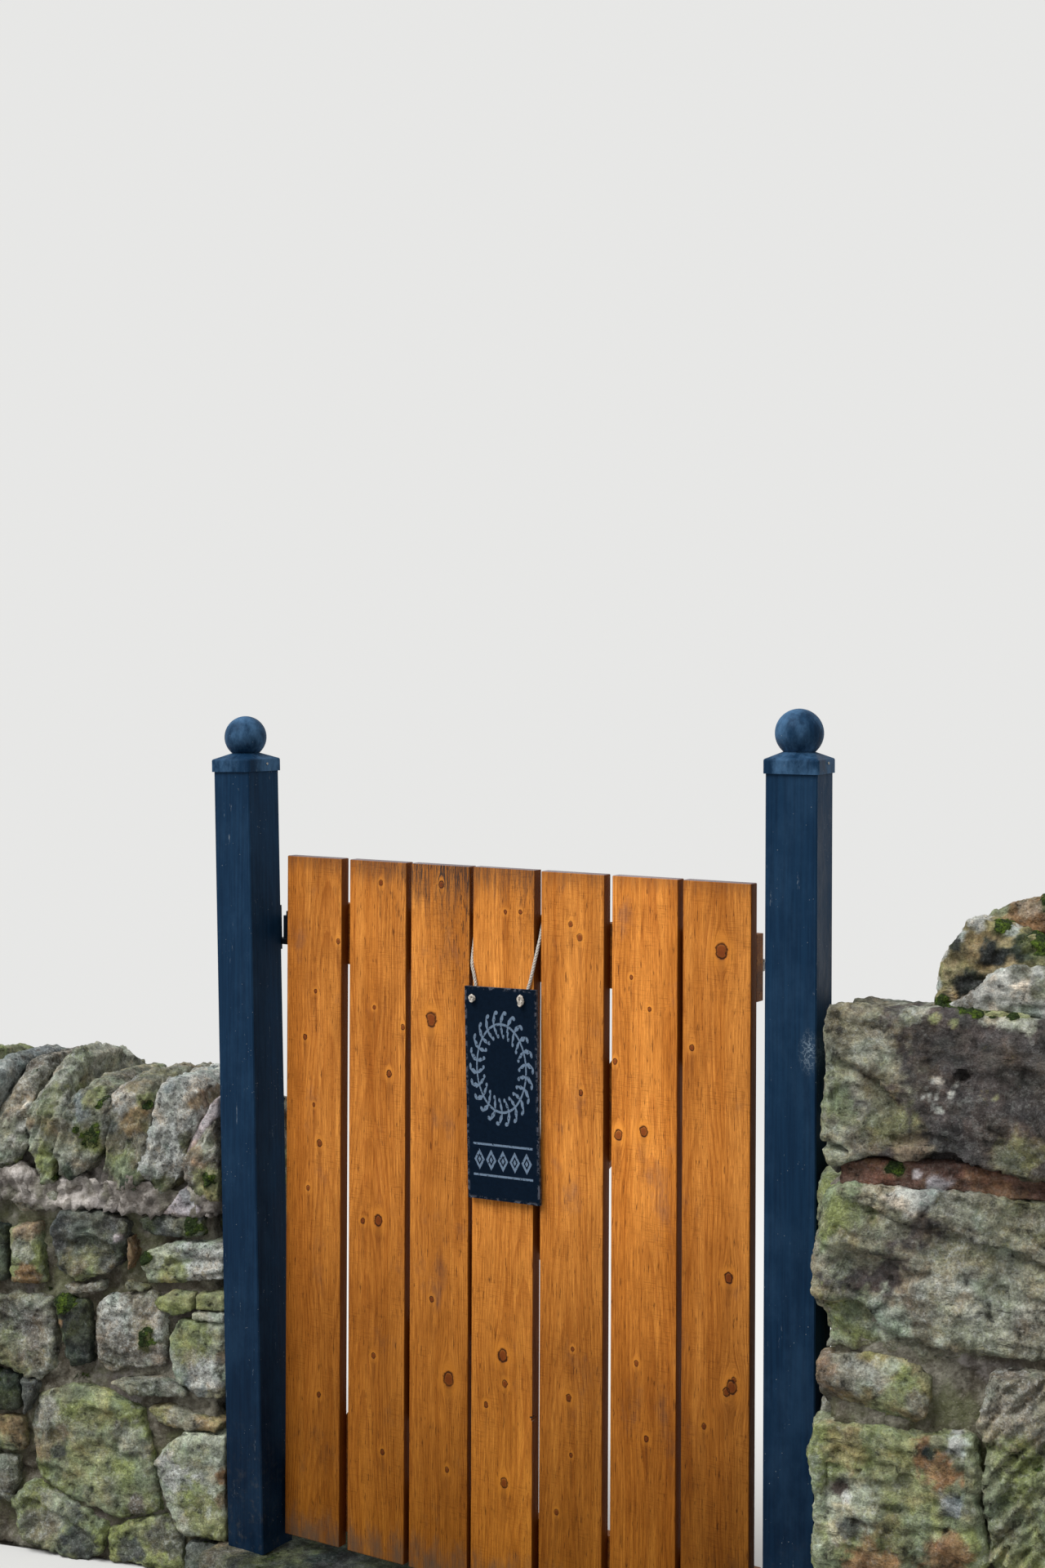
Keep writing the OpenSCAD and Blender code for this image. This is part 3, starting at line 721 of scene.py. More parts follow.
def faced_block(name, outline, front, back, knock, rnd, sections=(), foot=0.0):
    """A block whose outline is seen from the front, in metres, its front arris broken unevenly. Each
    section is how far back it lies and how high the outline stands over its foot there."""
    bpy.ops.object.select_all(action="DESELECT")
    bpy.ops.mesh.primitive_circle_add(vertices=len(outline), fill_type="NGON")
    obj = bpy.context.active_object
    obj.name = name
    for vertex, (x, z) in zip(obj.data.vertices, outline):
        vertex.co = (x, front + knock, z)
    middle = sum(p[0] for p in outline) / len(outline)
    bpy.ops.object.mode_set(mode="EDIT")
    bpy.ops.mesh.select_all(action="SELECT")
    reached, stands = front + knock, 1.0
    for y, share in (*sections, (back, sections[-1][1] if sections else 1.0)):
        bpy.ops.mesh.extrude_region_move(TRANSFORM_OT_translate={"value": (0, y - reached, 0)})
        if share != stands:
            bpy.ops.transform.resize(value=(1, 1, share / stands), center_override=(middle, y, foot))
        reached, stands = y, share
    pick_faces(obj, lambda face: face.center.y < front + knock + TOUCH)
    bpy.ops.mesh.inset(thickness=knock, depth=0)
    bpy.ops.transform.translate(value=(0, -knock, 0))
    bpy.ops.mesh.select_all(action="SELECT")
    bpy.ops.mesh.normals_make_consistent(inside=False)
    bpy.ops.object.mode_set(mode="OBJECT")
    for vertex in obj.data.vertices:
        if vertex.co.y < front + TOUCH:
            vertex.co.y += rnd.uniform(0.0, 0.8) * knock
    return obj


def metres(points, side=1):
    """Points given in millimetres, on the side that X runs to."""
    return [(side * x / 1000, z / 1000) for x, z in points]


def rubble_stone(spec, side, seed, face, lean=batter):
    """One stone in a wall face that looks along -Y. A block with its outline is cut to its facets and
    hollows, worn, and cut flat at its hidden back in the mortar."""
    rnd = random.Random(seed)
    outline = metres(spec.outline, side)
    along = [p[0] for p in outline]
    up = [p[1] for p in outline]
    small = min(max(along) - min(along), max(up) - min(up))
    middle = Vector((sum(along) / len(along), 0, sum(up) / len(up)))
    front = middle.z * lean - 0.008 + rnd.uniform(0, 0.007)
    middle.y = front
    knock = min(rnd.uniform(0.007, 0.013), 0.16 * small)
    stone = faced_block("stone", outline, front, front + 0.12, knock, rnd)
    tilt = Vector((rnd.uniform(-0.12, 0.12), -1, rnd.uniform(-0.14, 0.10))).normalized()
    planes = [(middle + Vector((0, rnd.uniform(0.0, 0.003), 0)), tilt)]
    if spec.facets:
        planes = [((side * x / 1000, front, z / 1000), Vector((side * slope_x, -1, slope_z)).normalized())
                  for x, z, slope_x, slope_z in spec.facets]
    cut(stone, planes)
    rounded(stone, face, 1)
    for x, z, wide, high, deep, turn in spec.hollows:
        pressed(stone, side * x, z, wide, high, deep, side * turn, front)
    for line, deep, fade in spec.steps:
        stepped(stone, line, deep, fade, side, front)
    lump = min(bpy.context.scene.walls.lumps, 0.10 * small) * (0.4 if spec.facets else 1.0)
    roughened(stone, lump, 0.0028, side * spec.layers[0], spec.layers[1] / 1000)
    cut(stone, [((0, front + 0.070, 0), (0, 1, 0))])
    return coloured(stone, spec.look, spec.patches, side)


# Stones of the left wall by the gate
LEFT_FACE = [
    Stone(
        "green", [(461, 598), (405, 610), (384, 501), (456, 495)],
        ((420, 508, 38, "rusty"), (425, 598, 32, "tan"), (392, 560, 30, "yellow"), (430, 560, 24, "pale"))),
    Stone("dark",
          [(375, 600), (352, 635), (255, 643), (212, 625), (214, 568), (250, 530), (315, 510), (358, 535)],
          ((300, 525, 52, "brown"), (296, 516, 24, "green"), (226, 600, 10, "lilac"),
           (218, 575, 22, "black")), layers=(8, 5),
          steps=(([(230, 585), (280, 600), (330, 588), (370, 595)], 11, 60),)),
    Stone("dark", [(192, 637), (155, 648), (63, 651), (59, 617), (138, 610), (178, 613)],
          ((80, 632, 24, "mossy"), (165, 625, 30, "black"), (110, 640, 20, "grey"))),
    Stone("mint",
          [(191, 559), (171, 582), (112, 600), (34, 607), (14, 597), (14, 541), (86, 531), (170, 518)],
          ((178, 566, 14, "mossy"), (60, 560, 60, "white"), (120, 545, 36, "yellow")),
          facets=((100, 565, 0.0, 0.06), (100, 594, 0.05, 0.6), (100, 536, 0.0, -0.45)), layers=(5, 6),
          steps=(([(20, 575), (70, 580), (120, 570), (170, 572)], 7, 30),)),
    Stone("grey",
          [(505, 459), (444, 474), (378, 468), (361, 400), (370, 347), (397, 323), (468, 336), (505, 352)],
          ((470, 360, 60, "green"), (400, 420, 40, "pink")), layers=(20, 3),
          steps=(([(365, 420), (400, 432), (450, 425), (500, 440)], 9, 50),)),
    Stone("black", [(364, 474), (296, 474), (287, 430), (287, 360), (328, 350), (344, 372), (352, 424)],
          ((338, 470, 22, "mossy"), (354, 400, 10, "yellow"), (350, 430, 8, "rusty"))),
    Stone("pink", [(279, 470), (254, 490), (161, 504), (137, 471), (130, 409), (136, 370), (217, 358),
                   (251, 341), (276, 362)],
          ((160, 428, 24, "mossy"), (172, 404, 12, "mossy"), (140, 450, 26, "white"),
           (235, 455, 46, "white")), facets=(
               (200, 430, 0.0, 0.05), (200, 388, 0.0, -0.45), (258, 430, 0.5, 0.1), (150, 420, -0.4, 0.0)),
          layers=(0, 2), steps=(([(135, 400), (165, 405), (200, 390), (270, 398)], 9, 45),
                                ([(150, 462), (200, 470), (250, 460)], 7, 30))),
    Stone("yellow", [(153, 493), (119, 509), (72, 510), (76, 479), (110, 464), (147, 477)]),
    Stone("yellow", [(70, 511), (8, 516), (8, 487), (68, 484)]),
    Stone("pale", [(75, 479), (8, 484), (8, 468), (75, 464)]),
    Stone("mint", [(127, 424), (107, 461), (51, 462), (6, 464), (3, 364), (16, 325), (65, 323), (109, 350)],
          ((60, 350, 44, "blue"), (14, 405, 14, "tan"), (50, 372, 40, "white"), (84, 436, 54, "yellow")),
          facets=((60, 400, 0.0, 0.0), (105, 400, 0.5, 0.0), (60, 350, 0.0, -0.4)), layers=(5, 2)),
    Stone("grey", [(245, 335), (141, 352), (95, 339), (85, 322), (199, 312)]),
    Stone(
        "green", [(420, 235), (395, 292), (327, 318), (258, 315), (178, 287), (158, 210), (135, 108),
                  (225, 82), (324, 106), (393, 135)],
        ((392, 205, 38, "tan"), (350, 225, 24, "tan"), (390, 260, 40, "pale"), (250, 290, 60, "yellow"),
         (182, 116, 22, "pink"), (280, 180, 60, "yellow"), (200, 235, 40, "pale"), (350, 190, 16, "dark")),
        hollows=((350, 205, 14, 45, 10, 20), (215, 240, 12, 40, 9, -25)),
        facets=((290, 190, 0.02, 0.0), (372, 200, 0.55, 0.05), (290, 285, 0.05, 0.45),
                (190, 220, -0.40, 0.15), (250, 105, 0.0, -0.5)), layers=(15, 2),
        steps=(
            ([(170, 215), (210, 205), (260, 222), (310, 214)], 10, 60),
            ([(300, 150), (350, 168), (400, 160)], 9, 40), ([(215, 290), (250, 280), (300, 290)], 8, 40))),
    Stone("ochre", [(168, 294), (123, 304), (73, 292), (14, 282), (24, 265), (106, 264), (144, 272)],
          ((90, 285, 40, "beige"),), layers=(10, 4)),
    Stone("mint", [(148, 200), (113, 238), (85, 259), (5, 264), (3, 72), (90, 73), (122, 115)],
          ((90, 190, 50, "white"), (6, 150, 18, "tan"), (6, 190, 16, "rusty"), (60, 240, 50, "mint"),
           (30, 90, 44, "yellow"), (60, 140, 40, "yellow")),
          facets=((75, 180, 0.0, 0.0), (70, 236, 0.0, 0.5), (122, 140, 0.5, -0.12), (60, 90, 0.0, -0.25)),
          layers=(12, 2)),
    Stone("ochre", [(500, 240), (427, 247), (424, 188), (500, 178)], ((480, 190, 40, "green"),)),
    Stone("grey", [(500, 172), (441, 170), (436, 127), (453, 88), (500, 92)]),
    Stone("green", [(445, 94), (419, 130), (393, 128), (305, 92), (252, 72), (257, 26), (277, 2), (364, 2),
                    (425, 20)], ((350, 90, 40, "pale"), (300, 40, 46, "dark"), (390, 60, 40, "grey")),
          layers=(25, 3), steps=(([(262, 40), (300, 62), (350, 84), (420, 104)], 14, 60),)),
    Stone("yellow", [(242, 3), (244, 60), (215, 79), (132, 100), (91, 68), (88, 3)],
          ((120, 60, 44, "grey"), (200, 30, 30, "dark"))),
    Stone("dark", [(82, 60), (45, 68), (6, 62), (6, 3), (82, 3)]),
    Stone("pink", [(345, 502), (300, 506), (262, 517), (262, 497), (330, 486)]),
    Stone("brown", [(213, 522), (160, 510), (213, 503)]),
    Stone("rusty", [(207, 606), (194, 568), (210, 536)]),
    Stone("black", [(500, 330), (440, 322), (436, 262), (500, 256)]),
    Stone("black", [(500, 600), (470, 600), (466, 500), (500, 492)]),
    Stone("dark", [(430, 322), (400, 318), (398, 300), (425, 250)]),
]

# Stones of the right wall by the gate
RIGHT_FACE = [
    Stone("beige", [(18, 880), (14, 852), (3, 802), (4, 727), (16, 696), (27, 668), (14, 648), (85, 656),
                    (149, 648), (244, 652), (336, 661), (432, 664), (436, 884), (200, 896), (60, 893)],
          ((84, 767, 62, "plum"), (25, 850, 60, "green"), (60, 695, 50, "green"), (150, 885, 40, "lime"),
           (330, 890, 50, "brown"), (250, 740, 90, "pale"), (170, 840, 34, "plum"), (60, 800, 40, "beige"),
           (230, 800, 60, "pale"), (110, 700, 40, "mint")),
          hollows=((90, 772, 62, 26, 17, 10), (330, 735, 80, 14, 10, 20)), layers=(18, 5), steps=(
              ([(0, 731), (57, 729), (84, 713), (101, 691), (149, 677), (244, 664), (300, 660)], 24, 140),
              ([(70, 872), (153, 853), (222, 838), (295, 813), (400, 790)], 13, 55),
              ([(10, 800), (50, 812), (90, 800), (140, 790)], 9, 50))),
    Stone("ochre", [(3, 600), (4, 630), (10, 638), (85, 646), (139, 641), (172, 622), (174, 590),
                    (168, 566), (156, 552), (129, 544), (81, 545), (26, 551), (8, 577)],
          ((44, 636, 40, "beige"), (100, 622, 30, "pale"), (60, 626, 20, "pale"), (136, 602, 32, "yellow"),
           (156, 584, 22, "beige"), (112, 630, 16, "mint"), (24, 622, 20, "tan"), (12, 600, 20, "tan"),
           (52, 600, 30, "beige"), (20, 574, 18, "brown"), (56, 564, 24, "ochre"), (92, 560, 24, "yellow"),
           (124, 552, 18, "green")), facets=((4, 611, -0.24, -0.95), (4, 611, 0.09, 0.36)), layers=(10, 2)),
    Stone(
        "green", [(2, 534), (86, 539), (156, 542), (235, 546), (240, 508), (246, 483), (240, 461),
                  (250, 416), (254, 365), (248, 262), (4, 258)],
        ((110, 500, 60, "yellow"), (60, 420, 60, "mint"), (183, 496, 36, "rusty"), (40, 448, 16, "plum"),
         (52, 436, 9, "white"), (204, 451, 24, "blue"), (214, 531, 22, "lime"), (174, 518, 12, "black"),
         (90, 350, 46, "rusty"), (200, 375, 46, "rusty"), (50, 512, 36, "ochre"), (150, 430, 50, "yellow"),
         (120, 395, 30, "ochre"), (4, 486, 12, "mint"), (5, 462, 12, "mint"), (5, 438, 11, "mint"),
         (5, 414, 12, "mint"), (5, 390, 12, "mint"), (6, 366, 13, "mint"), (60, 398, 20, "dark")), hollows=(
             (68, 478, 6, 5, 14, 0), (40, 500, 14, 7, 7, 10), (84, 508, 12, 6, 6, -8),
             (110, 486, 14, 7, 7, 6), (56, 462, 13, 6, 6, 0), (128, 512, 12, 6, 6, 10),
             (96, 456, 16, 7, 7, 5), (140, 470, 12, 6, 6, 0), (44, 440, 20, 14, 10, -20),
             (22, 446, 5, 50, 9, 0), (120, 430, 18, 7, 7, 8), (180, 446, 16, 8, 7, 4),
             (80, 404, 22, 8, 8, 8), (150, 398, 20, 8, 8, 4), (210, 410, 16, 8, 7, 0),
             (110, 366, 22, 8, 8, 6), (180, 350, 22, 8, 8, 2), (60, 360, 20, 8, 8, 4),
             (220, 500, 12, 8, 6, 0)), layers=(4, 4)),
    Stone("beige", [(258, 641), (330, 650), (430, 652), (440, 560), (440, 300), (270, 296), (268, 365),
                    (264, 416), (254, 467), (258, 509), (250, 571), (254, 625)],
          ((310, 450, 120, "green"), (300, 330, 90, "yellow"), (286, 618, 50, "pink")), layers=(-52, 18)),
    Stone("green", [(5, 246), (178, 250), (184, 150), (170, 4), (6, 4)], layers=(0, 4)),
    Stone("beige", [(196, 250), (262, 282), (440, 286), (436, 170), (420, 4), (186, 4)], layers=(0, 4)),
]


def coursed(start, end, top, heights, lengths, looks, rnd):
    """Stones in rough courses that fill a wall face, in millimetres, with uneven joints."""
    joint = bpy.context.scene.walls.joint * 1000
    stones = []
    z = GROUND_GAP
    while z < top - heights[0] / 2:
        rise = rnd.uniform(*heights)
        if top - z - rise < heights[0]:
            rise = top - z
        x = start
        while x < end - lengths[0] / 2:
            run = rnd.uniform(*lengths)
            if end - x - run < lengths[0]:
                run = end - x
            wander = [rnd.uniform(-0.4, 0.4) * joint for _ in range(6)]
            half = joint / 2
            low, high = z + half, z + rise - half
            left, right = x + half, x + run - half
            bite = rnd.uniform(0.0, 0.25) * rise
            outline = [
                (left + wander[0], low + wander[1]), (right + wander[2], low - wander[1]),
                (right - wander[3], high - bite), (right - bite + wander[3], high + wander[4]),
                (left + wander[5], high - wander[4])]
            stones.append(Stone(rnd.choice(looks), outline, layers=(rnd.uniform(-12, 12), 6)))
            x += run
        z += rise
    return stones


def facing(name, stones, side, seed, face, matrix, lean=batter):
    """A joined face of stones, moved from its own frame to its place."""
    made = []
    for number, spec in enumerate(stones):
        made.append(rubble_stone(spec, side, seed * 1000 + number, face, lean))
    return placed(levelled(joined(name, made), 0.0005), matrix)


def wall_frame(node):
    """Frame of a wall: X along it, Y from its front to its back, at the front corner by the gate."""
    low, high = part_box(node)
    if node == "left_wall":
        corner = Vector((high.x, high.y - wall_thick * math.cos(wall_turn), 0))
    else:
        corner = Vector((low.x + wall_thick * math.sin(wall_turn), low.y, 0))
    return Matrix.Translation(corner) @ Matrix.Rotation(wall_turn, 4, "Z")


def wall_length(node):
    """Length of a wall along its own face."""
    low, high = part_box(node)
    return (high.x - low.x - wall_thick * math.sin(wall_turn)) / math.cos(wall_turn)


def turned(matrix, x, y, degrees):
    """A wall's frame moved to x, y in it and turned, for its back and its ends."""
    return matrix @ Matrix.Translation((x, y, 0)) @ Matrix.Rotation(math.radians(degrees), 4, "Z")


def mortar_core(node, start, end, near_lean):
    """The mortar between a wall's stones: a battered block set back from every face, and rough."""
    walls = bpy.context.scene.walls
    inset = walls.recess
    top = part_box(node)[1].z - 0.004
    core = block(f"{node}_mortar", (start + inset, 0, 0.0), (end - inset, wall_thick, top))
    planes = [((0, inset, 0), (0, -1, batter)), ((0, wall_thick - inset, 0), (0, 1, batter))]
    if near_lean:
        planes.append(((-inset, 0, 0), (1, 0, near_lean)))
    cut(core, planes)
    rounded(core, walls.coarse, 1)
    roughened(core, 0.012, 0.009, 0, 0.006)
    mortared(placed(levelled(core, 0.002), wall_frame(node)), mortar_material(), node)


def wall_face(node, given, side, seed, course, rnd):
    """The seen front of a wall: the given stones by the gate, and rough courses beyond them."""
    stones = given + coursed(*course, rnd)
    masonry(facing(f"{node}_front", stones, side, seed, bpy.context.scene.walls.fine, wall_frame(node)))


def wall_backing(node, seed, faces, looks, rnd):
    """The back and the two ends of a wall, joined. Each face is where its courses start and end, how
    high and long their stones are, its place in the wall's frame and its turn, and its lean."""
    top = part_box(node)[1].z * 1000
    made = []
    for number, (start, end, heights, lengths, place, lean) in enumerate(faces):
        courses = coursed(start, end, top, heights, lengths, looks, rnd)
        made.append(facing(f"{node}_courses_{number}", courses, 1, seed + number,
                           bpy.context.scene.walls.coarse, turned(wall_frame(node), *place), lean))
    masonry(joined(f"{node}_back", made))


class GATEWAY_OT_left_wall(bpy.types.Operator):
    """Build the left wall: rubble stones with recessed mortar"""
    bl_idname = "gateway.left_wall"
    bl_label = "Left wall"

    def execute(self, context):
        length = wall_length("left_wall")
        long_mm, top_mm = length * 1000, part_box("left_wall")[1].z * 1000
        rnd = random.Random(4)
        rubble = ("grey", "green", "pale", "brown", "pink", "dark", "green")
        beyond = (508, long_mm, top_mm, (90, 170), (110, 240), rubble)
        wall_face("left_wall", LEFT_FACE, -1, 11, beyond, rnd)
        end = (*WALL_END, (100, 180), (100, 200))
        wall_backing("left_wall", 12, (
            (20, long_mm, (90, 180), (120, 280), (0, wall_thick, 180), batter),
            (*end, (-length, wall_thick, -90), 0.0), (*end, (0, 0, 90), left_end_lean)), rubble, rnd)
        mortar_core("left_wall", -length, 0.0, left_end_lean)
        return {"FINISHED"}


class GATEWAY_OT_right_wall(bpy.types.Operator):
    """Build the right wall under its top course: big squared blocks in mortar"""
    bl_idname = "gateway.right_wall"
    bl_label = "Right wall"

    def execute(self, context):
        length = wall_length("right_wall")
        long_mm, top_mm = length * 1000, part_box("right_wall")[1].z * 1000
        rnd = random.Random(9)
        blocks = ("beige", "green", "grey", "ochre", "brown")
        beyond = (446, long_mm, top_mm - 10, (190, 270), (220, 360), blocks)
        wall_face("right_wall", RIGHT_FACE, 1, 21, beyond, rnd)
        end = (*WALL_END, (160, 250), (120, 250))
        wall_backing("right_wall", 22, (
            (0, long_mm - 20, (150, 250), (180, 360), (length, wall_thick, 180), batter),
            (*end, (length, 0, 90), 0.0), (*end, (0, wall_thick, -90), 0.0)), blocks, rnd)
        mortar_core("right_wall", 0.0, length, 0.0)
        return {"FINISHED"}


# Copings, the top course and the threshold

COPING_PITCH, COPING_LEAN, COPING_COUNT = 0.086, math.radians(24), 10

# Height at which the copings stand on the left wall, in millimetres
LEFT_WALL_TOP = 693

# Noses of the coping stones by the gate, as stones in the plane of the wall face, and the height of
# each crown above the wall. The black patches at their feet are painted shade under the stones.
COPINGS = [
    (Stone("pink",
           [(-94, 714), (-99, 732), (-92, 762), (-66, 790), (-45, 812), (-31, 832), (-22, 684), (-60, 684)],
           ((-47, 712, 42, "yellow"), (-42, 722, 15, "mossy"), (-57, 801, 9, "mossy"),
            (-60, 790, 30, "pale"), (-60, 762, 20, "tan"))), 150),
    (Stone("white", [(-154, 868), (-139, 886), (-106, 885), (-78, 866), (-66, 840), (-72, 812), (-88, 780),
                     (-97, 740), (-106, 707), (-129, 690), (-160, 690), (-178, 731), (-176, 762)],
           ((-84, 790, 20, "brown"), (-64, 862, 22, "tan"), (-122, 704, 24, "brown"),
            (-152, 702, 16, "black"), (-122, 884, 12, "blue"))), 205),
    (Stone("beige", [(-251, 849), (-242, 864), (-205, 878), (-172, 878), (-153, 845), (-166, 788),
                     (-178, 720), (-193, 695), (-226, 690), (-251, 702), (-262, 740), (-260, 768)],
           ((-222, 856, 30, "white"), (-214, 862, 9, "blue"), (-172, 858, 14, "yellow"),
            (-188, 812, 30, "ochre"), (-214, 735, 46, "green"), (-200, 700, 24, "black"),
            (-238, 806, 14, "dark"), (-190, 742, 12, "brown"), (-166, 848, 9, "mossy"))), 203),
    (Stone(
        "grey", [(-363, 768), (-351, 793), (-340, 829), (-319, 855), (-291, 862), (-257, 843), (-240, 823),
                 (-243, 777), (-267, 745), (-291, 722), (-316, 708), (-334, 697), (-356, 706)],
        ((-284, 778, 28, "mossy"), (-268, 800, 12, "mossy"), (-313, 795, 8, "mossy"),
         (-271, 841, 9, "mossy"), (-308, 838, 26, "blue"), (-290, 852, 18, "green"),
         (-328, 712, 26, "black"), (-345, 760, 30, "pale"))), 190),
    (Stone("pale", [(-430, 800), (-404, 838), (-372, 862), (-346, 850), (-345, 800), (-362, 768),
                    (-364, 733), (-366, 688), (-396, 686), (-408, 720), (-418, 756)],
           ((-380, 728, 38, "yellow"), (-376, 803, 24, "brown"), (-372, 846, 26, "green"),
            (-360, 700, 13, "mossy"), (-412, 800, 16, "tan"))), 236),
    (Stone(
        "pink", [(-500, 783), (-462, 819), (-430, 822), (-422, 788), (-418, 761), (-450, 723), (-500, 701)],
        ((-470, 770, 40, "pale"), (-429, 828, 9, "lime"), (-431, 794, 10, "lime"), (-447, 770, 8, "lime"),
         (-462, 704, 26, "black"), (-440, 720, 12, "mossy"))), 215),
]


def coping_outline(number):
    """The nose of a coping stone beyond the ones that are given: a leaning slab with a round crown."""
    rnd = random.Random(700 + number)
    foot_x = -1000 * COPING_PITCH * (number - 0.2)
    lean = math.tan(COPING_LEAN)
    half = 40 + rnd.uniform(-4, 3)
    high = 180 + rnd.uniform(-18, 18)
    outline = [(-half, -8), (-half - 2, high * 0.55), (-half + 4, high * 0.9), (-half + 22, high),
               (half - 18, high), (half - 3, high * 0.88), (half + 2, high * 0.5), (half, -8)]
    outline = [(foot_x + x + z * lean, LEFT_WALL_TOP + z) for x, z in outline]
    return Stone(rnd.choice(("grey", "green", "blue", "pale", "brown", "green")), outline), high + 28


def rough_coping(number, matrix, foot):
    """One rough stone on edge across the wall, its crown worn round and lower towards the back."""
    walls = bpy.context.scene.walls
    given = number <= len(COPINGS)
    spec, crown = COPINGS[number - 1] if given else coping_outline(number)
    rnd = random.Random(300 + number)
    outline = metres(spec.outline)
    near, far = foot * batter - 0.012, wall_thick - foot * batter + 0.010
    rise = crown / 1000 / (max(p[1] for p in outline) - foot)
    sections = ((near + 0.040, 0.5 + 0.5 * rise), (near + 0.100, rise), (far - 0.150, rise * 0.97),
                (far - 0.070, rise * 0.88), (far - 0.025, rise * 0.70))
    stone = faced_block(f"rough_coping_{number}", outline, near, far, 0.011, rnd, sections, foot)
    cut(stone, [((0, far - 0.010, foot + 0.015), (0, 1, -0.8))])
    rounded(stone, walls.fine if given else walls.medium)
    roughened(stone, 0.013, 0.0032, rnd.uniform(-72, -60), 0.008)
    if number < 4:
        # These reach the leaning end of the wall
        cut(stone, [((-0.003 - foot * left_end_lean, 0, foot), (1, 0, left_end_lean))])
    return placed(coloured(stone, spec.look, spec.patches), matrix)


# Smears of fresh lime on the left wall: outline in millimetres, how far back in metres, and look
LIME_SMEARS = [
    ([(-94, 765), (-81, 797), (-63, 825), (-43, 858), (-30, 874), (-28, 837), (-51, 808), (-68, 784),
      (-89, 757)], 0.016, "lilac"),
    ([(-146, 649), (-120, 674), (-106, 700), (-92, 706), (-81, 689), (-60, 666), (-66, 650)], 0.012,
     "lilac"),
    ([(-455, 644), (-430, 665), (-364, 675), (-360, 656), (-385, 640), (-442, 628)], 0.016, "pale"),
]


def lime_smear(outline, y, look, seed):
    """A smear of fresh lime mortar on the wall face, its outline in millimetres."""
    smear = faced_block("smear", metres(outline), y, y + 0.05, 0.006, random.Random(seed))
    rounded(smear, 0.004)
    roughened(smear, 0.006, 0.0015)
    return coloured(smear, look)


class GATEWAY_OT_coping(bpy.types.Operator):
    """Set ten rough stones on edge along the left wall, bedded in mortar"""
    bl_idname = "gateway.coping"
    bl_label = "Coping"

    def execute(self, context):
        matrix = wall_frame("left_wall")
        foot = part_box("left_wall")[1].z
        for number in range(1, COPING_COUNT + 1):
            masonry(rough_coping(number, matrix, foot), f"coping_stone_{number}")
        far_end = 0.01 - wall_length("left_wall")
        bed = block("left_wall_bedding", (far_end, 0.017, foot - 0.045), (0, 0.358, foot + 0.012))
        fill = block("fill", (far_end, 0.060, foot - 0.01), (0, 0.315, foot + 0.11))
        cut(fill, [((far_end + 0.03, 0, foot), (-1, 0, math.tan(COPING_LEAN)))])
        bedding = joined("left_wall_bedding", [bed, fill])
        cut(bedding, [((-0.010 - foot * left_end_lean, 0, foot), (1, 0, left_end_lean))])
        rounded(bedding, 0.0068, 1)
        roughened(bedding, 0.032, 0.009)
        mortared(placed(bedding, matrix), bedding_material())
        smears = [lime_smear(*smear, seed) for seed, smear in enumerate(LIME_SMEARS, 1)]
        masonry(placed(joined("left_wall_lime_smears", smears), matrix))
        return {"FINISHED"}


# The first big stone by the gate: the size of its mesh's faces, the hollows and the broken edges on
# its front, its patches of other looks, and the red ledge under it
TOP_STONE_FACE = 0.0048
TOP_STONE_HOLLOWS = (
    (16, 946, 32, 6, 34, 4), (216, 1063, 9, 7, 26, 0), (265, 986, 12, 6, 10, 30),
    (330, 1040, 70, 34, 8, 25), (60, 1012, 40, 30, 7, 30),
)
TOP_STONE_STEPS = (
    ([(14, 1092), (40, 1080), (63, 1070), (92, 1053), (106, 1035), (128, 1010)], 17, 75),
    ([(98, 978), (112, 972), (145, 975), (188, 978), (215, 968)], 14, 22),
    ([(20, 921), (60, 926), (99, 941), (127, 931), (148, 936), (175, 950), (205, 954), (244, 934),
      (281, 926), (334, 918), (420, 914), (560, 911)], 30, 900),
    ([(225, 1075), (262, 1068), (300, 1050)], 7, 40),
)
TOP_STONE_PATCHES = (
    (44, 1085, 92, "beige"), (34, 990, 76, "beige"), (20, 950, 40, "mint"), (30, 1060, 34, "mint"),
    (64, 1116, 50, "beige"), (80, 1106, 30, "pale"), (150, 1152, 22, "pale"), (282, 1148, 20, "pale"),
    (250, 1150, 14, "pale"), (310, 1146, 16, "pale"), (112, 985, 44, "brown"), (300, 952, 40, "brown"),
    (140, 948, 36, "tan"), (92, 1040, 26, "brown"), (40, 1010, 30, "green"), (182, 1056, 6, "lime"),
    (175, 1057, 4, "lime"), (190, 1054, 4, "lime"), (170, 1034, 5, "lime"), (162, 1031, 4, "lime"),
    (179, 1032, 4, "lime"), (201, 1037, 6, "lime"), (208, 1050, 5, "lime"), (182, 1014, 6, "lime"),
    (175, 1018, 4, "lime"), (190, 1011, 4, "lime"), (265, 1036, 4, "yellow"), (177, 1146, 9, "yellow"),
    (205, 1141, 7, "yellow"), (216, 1158, 9, "mossy"), (236, 1157, 10, "mossy"), (262, 1158, 12, "mossy"),
    (288, 1156, 11, "mossy"), (312, 1158, 10, "mossy"),
)


RED_LEDGE = Stone(
    "red", [(36, 885), (36, 922), (96, 934), (199, 936), (330, 918), (420, 905), (420, 885)],
    ((117, 921, 15, "mossy"), (150, 914, 8, "lilac"), (184, 897, 18, "lilac")), layers=(3, 5))


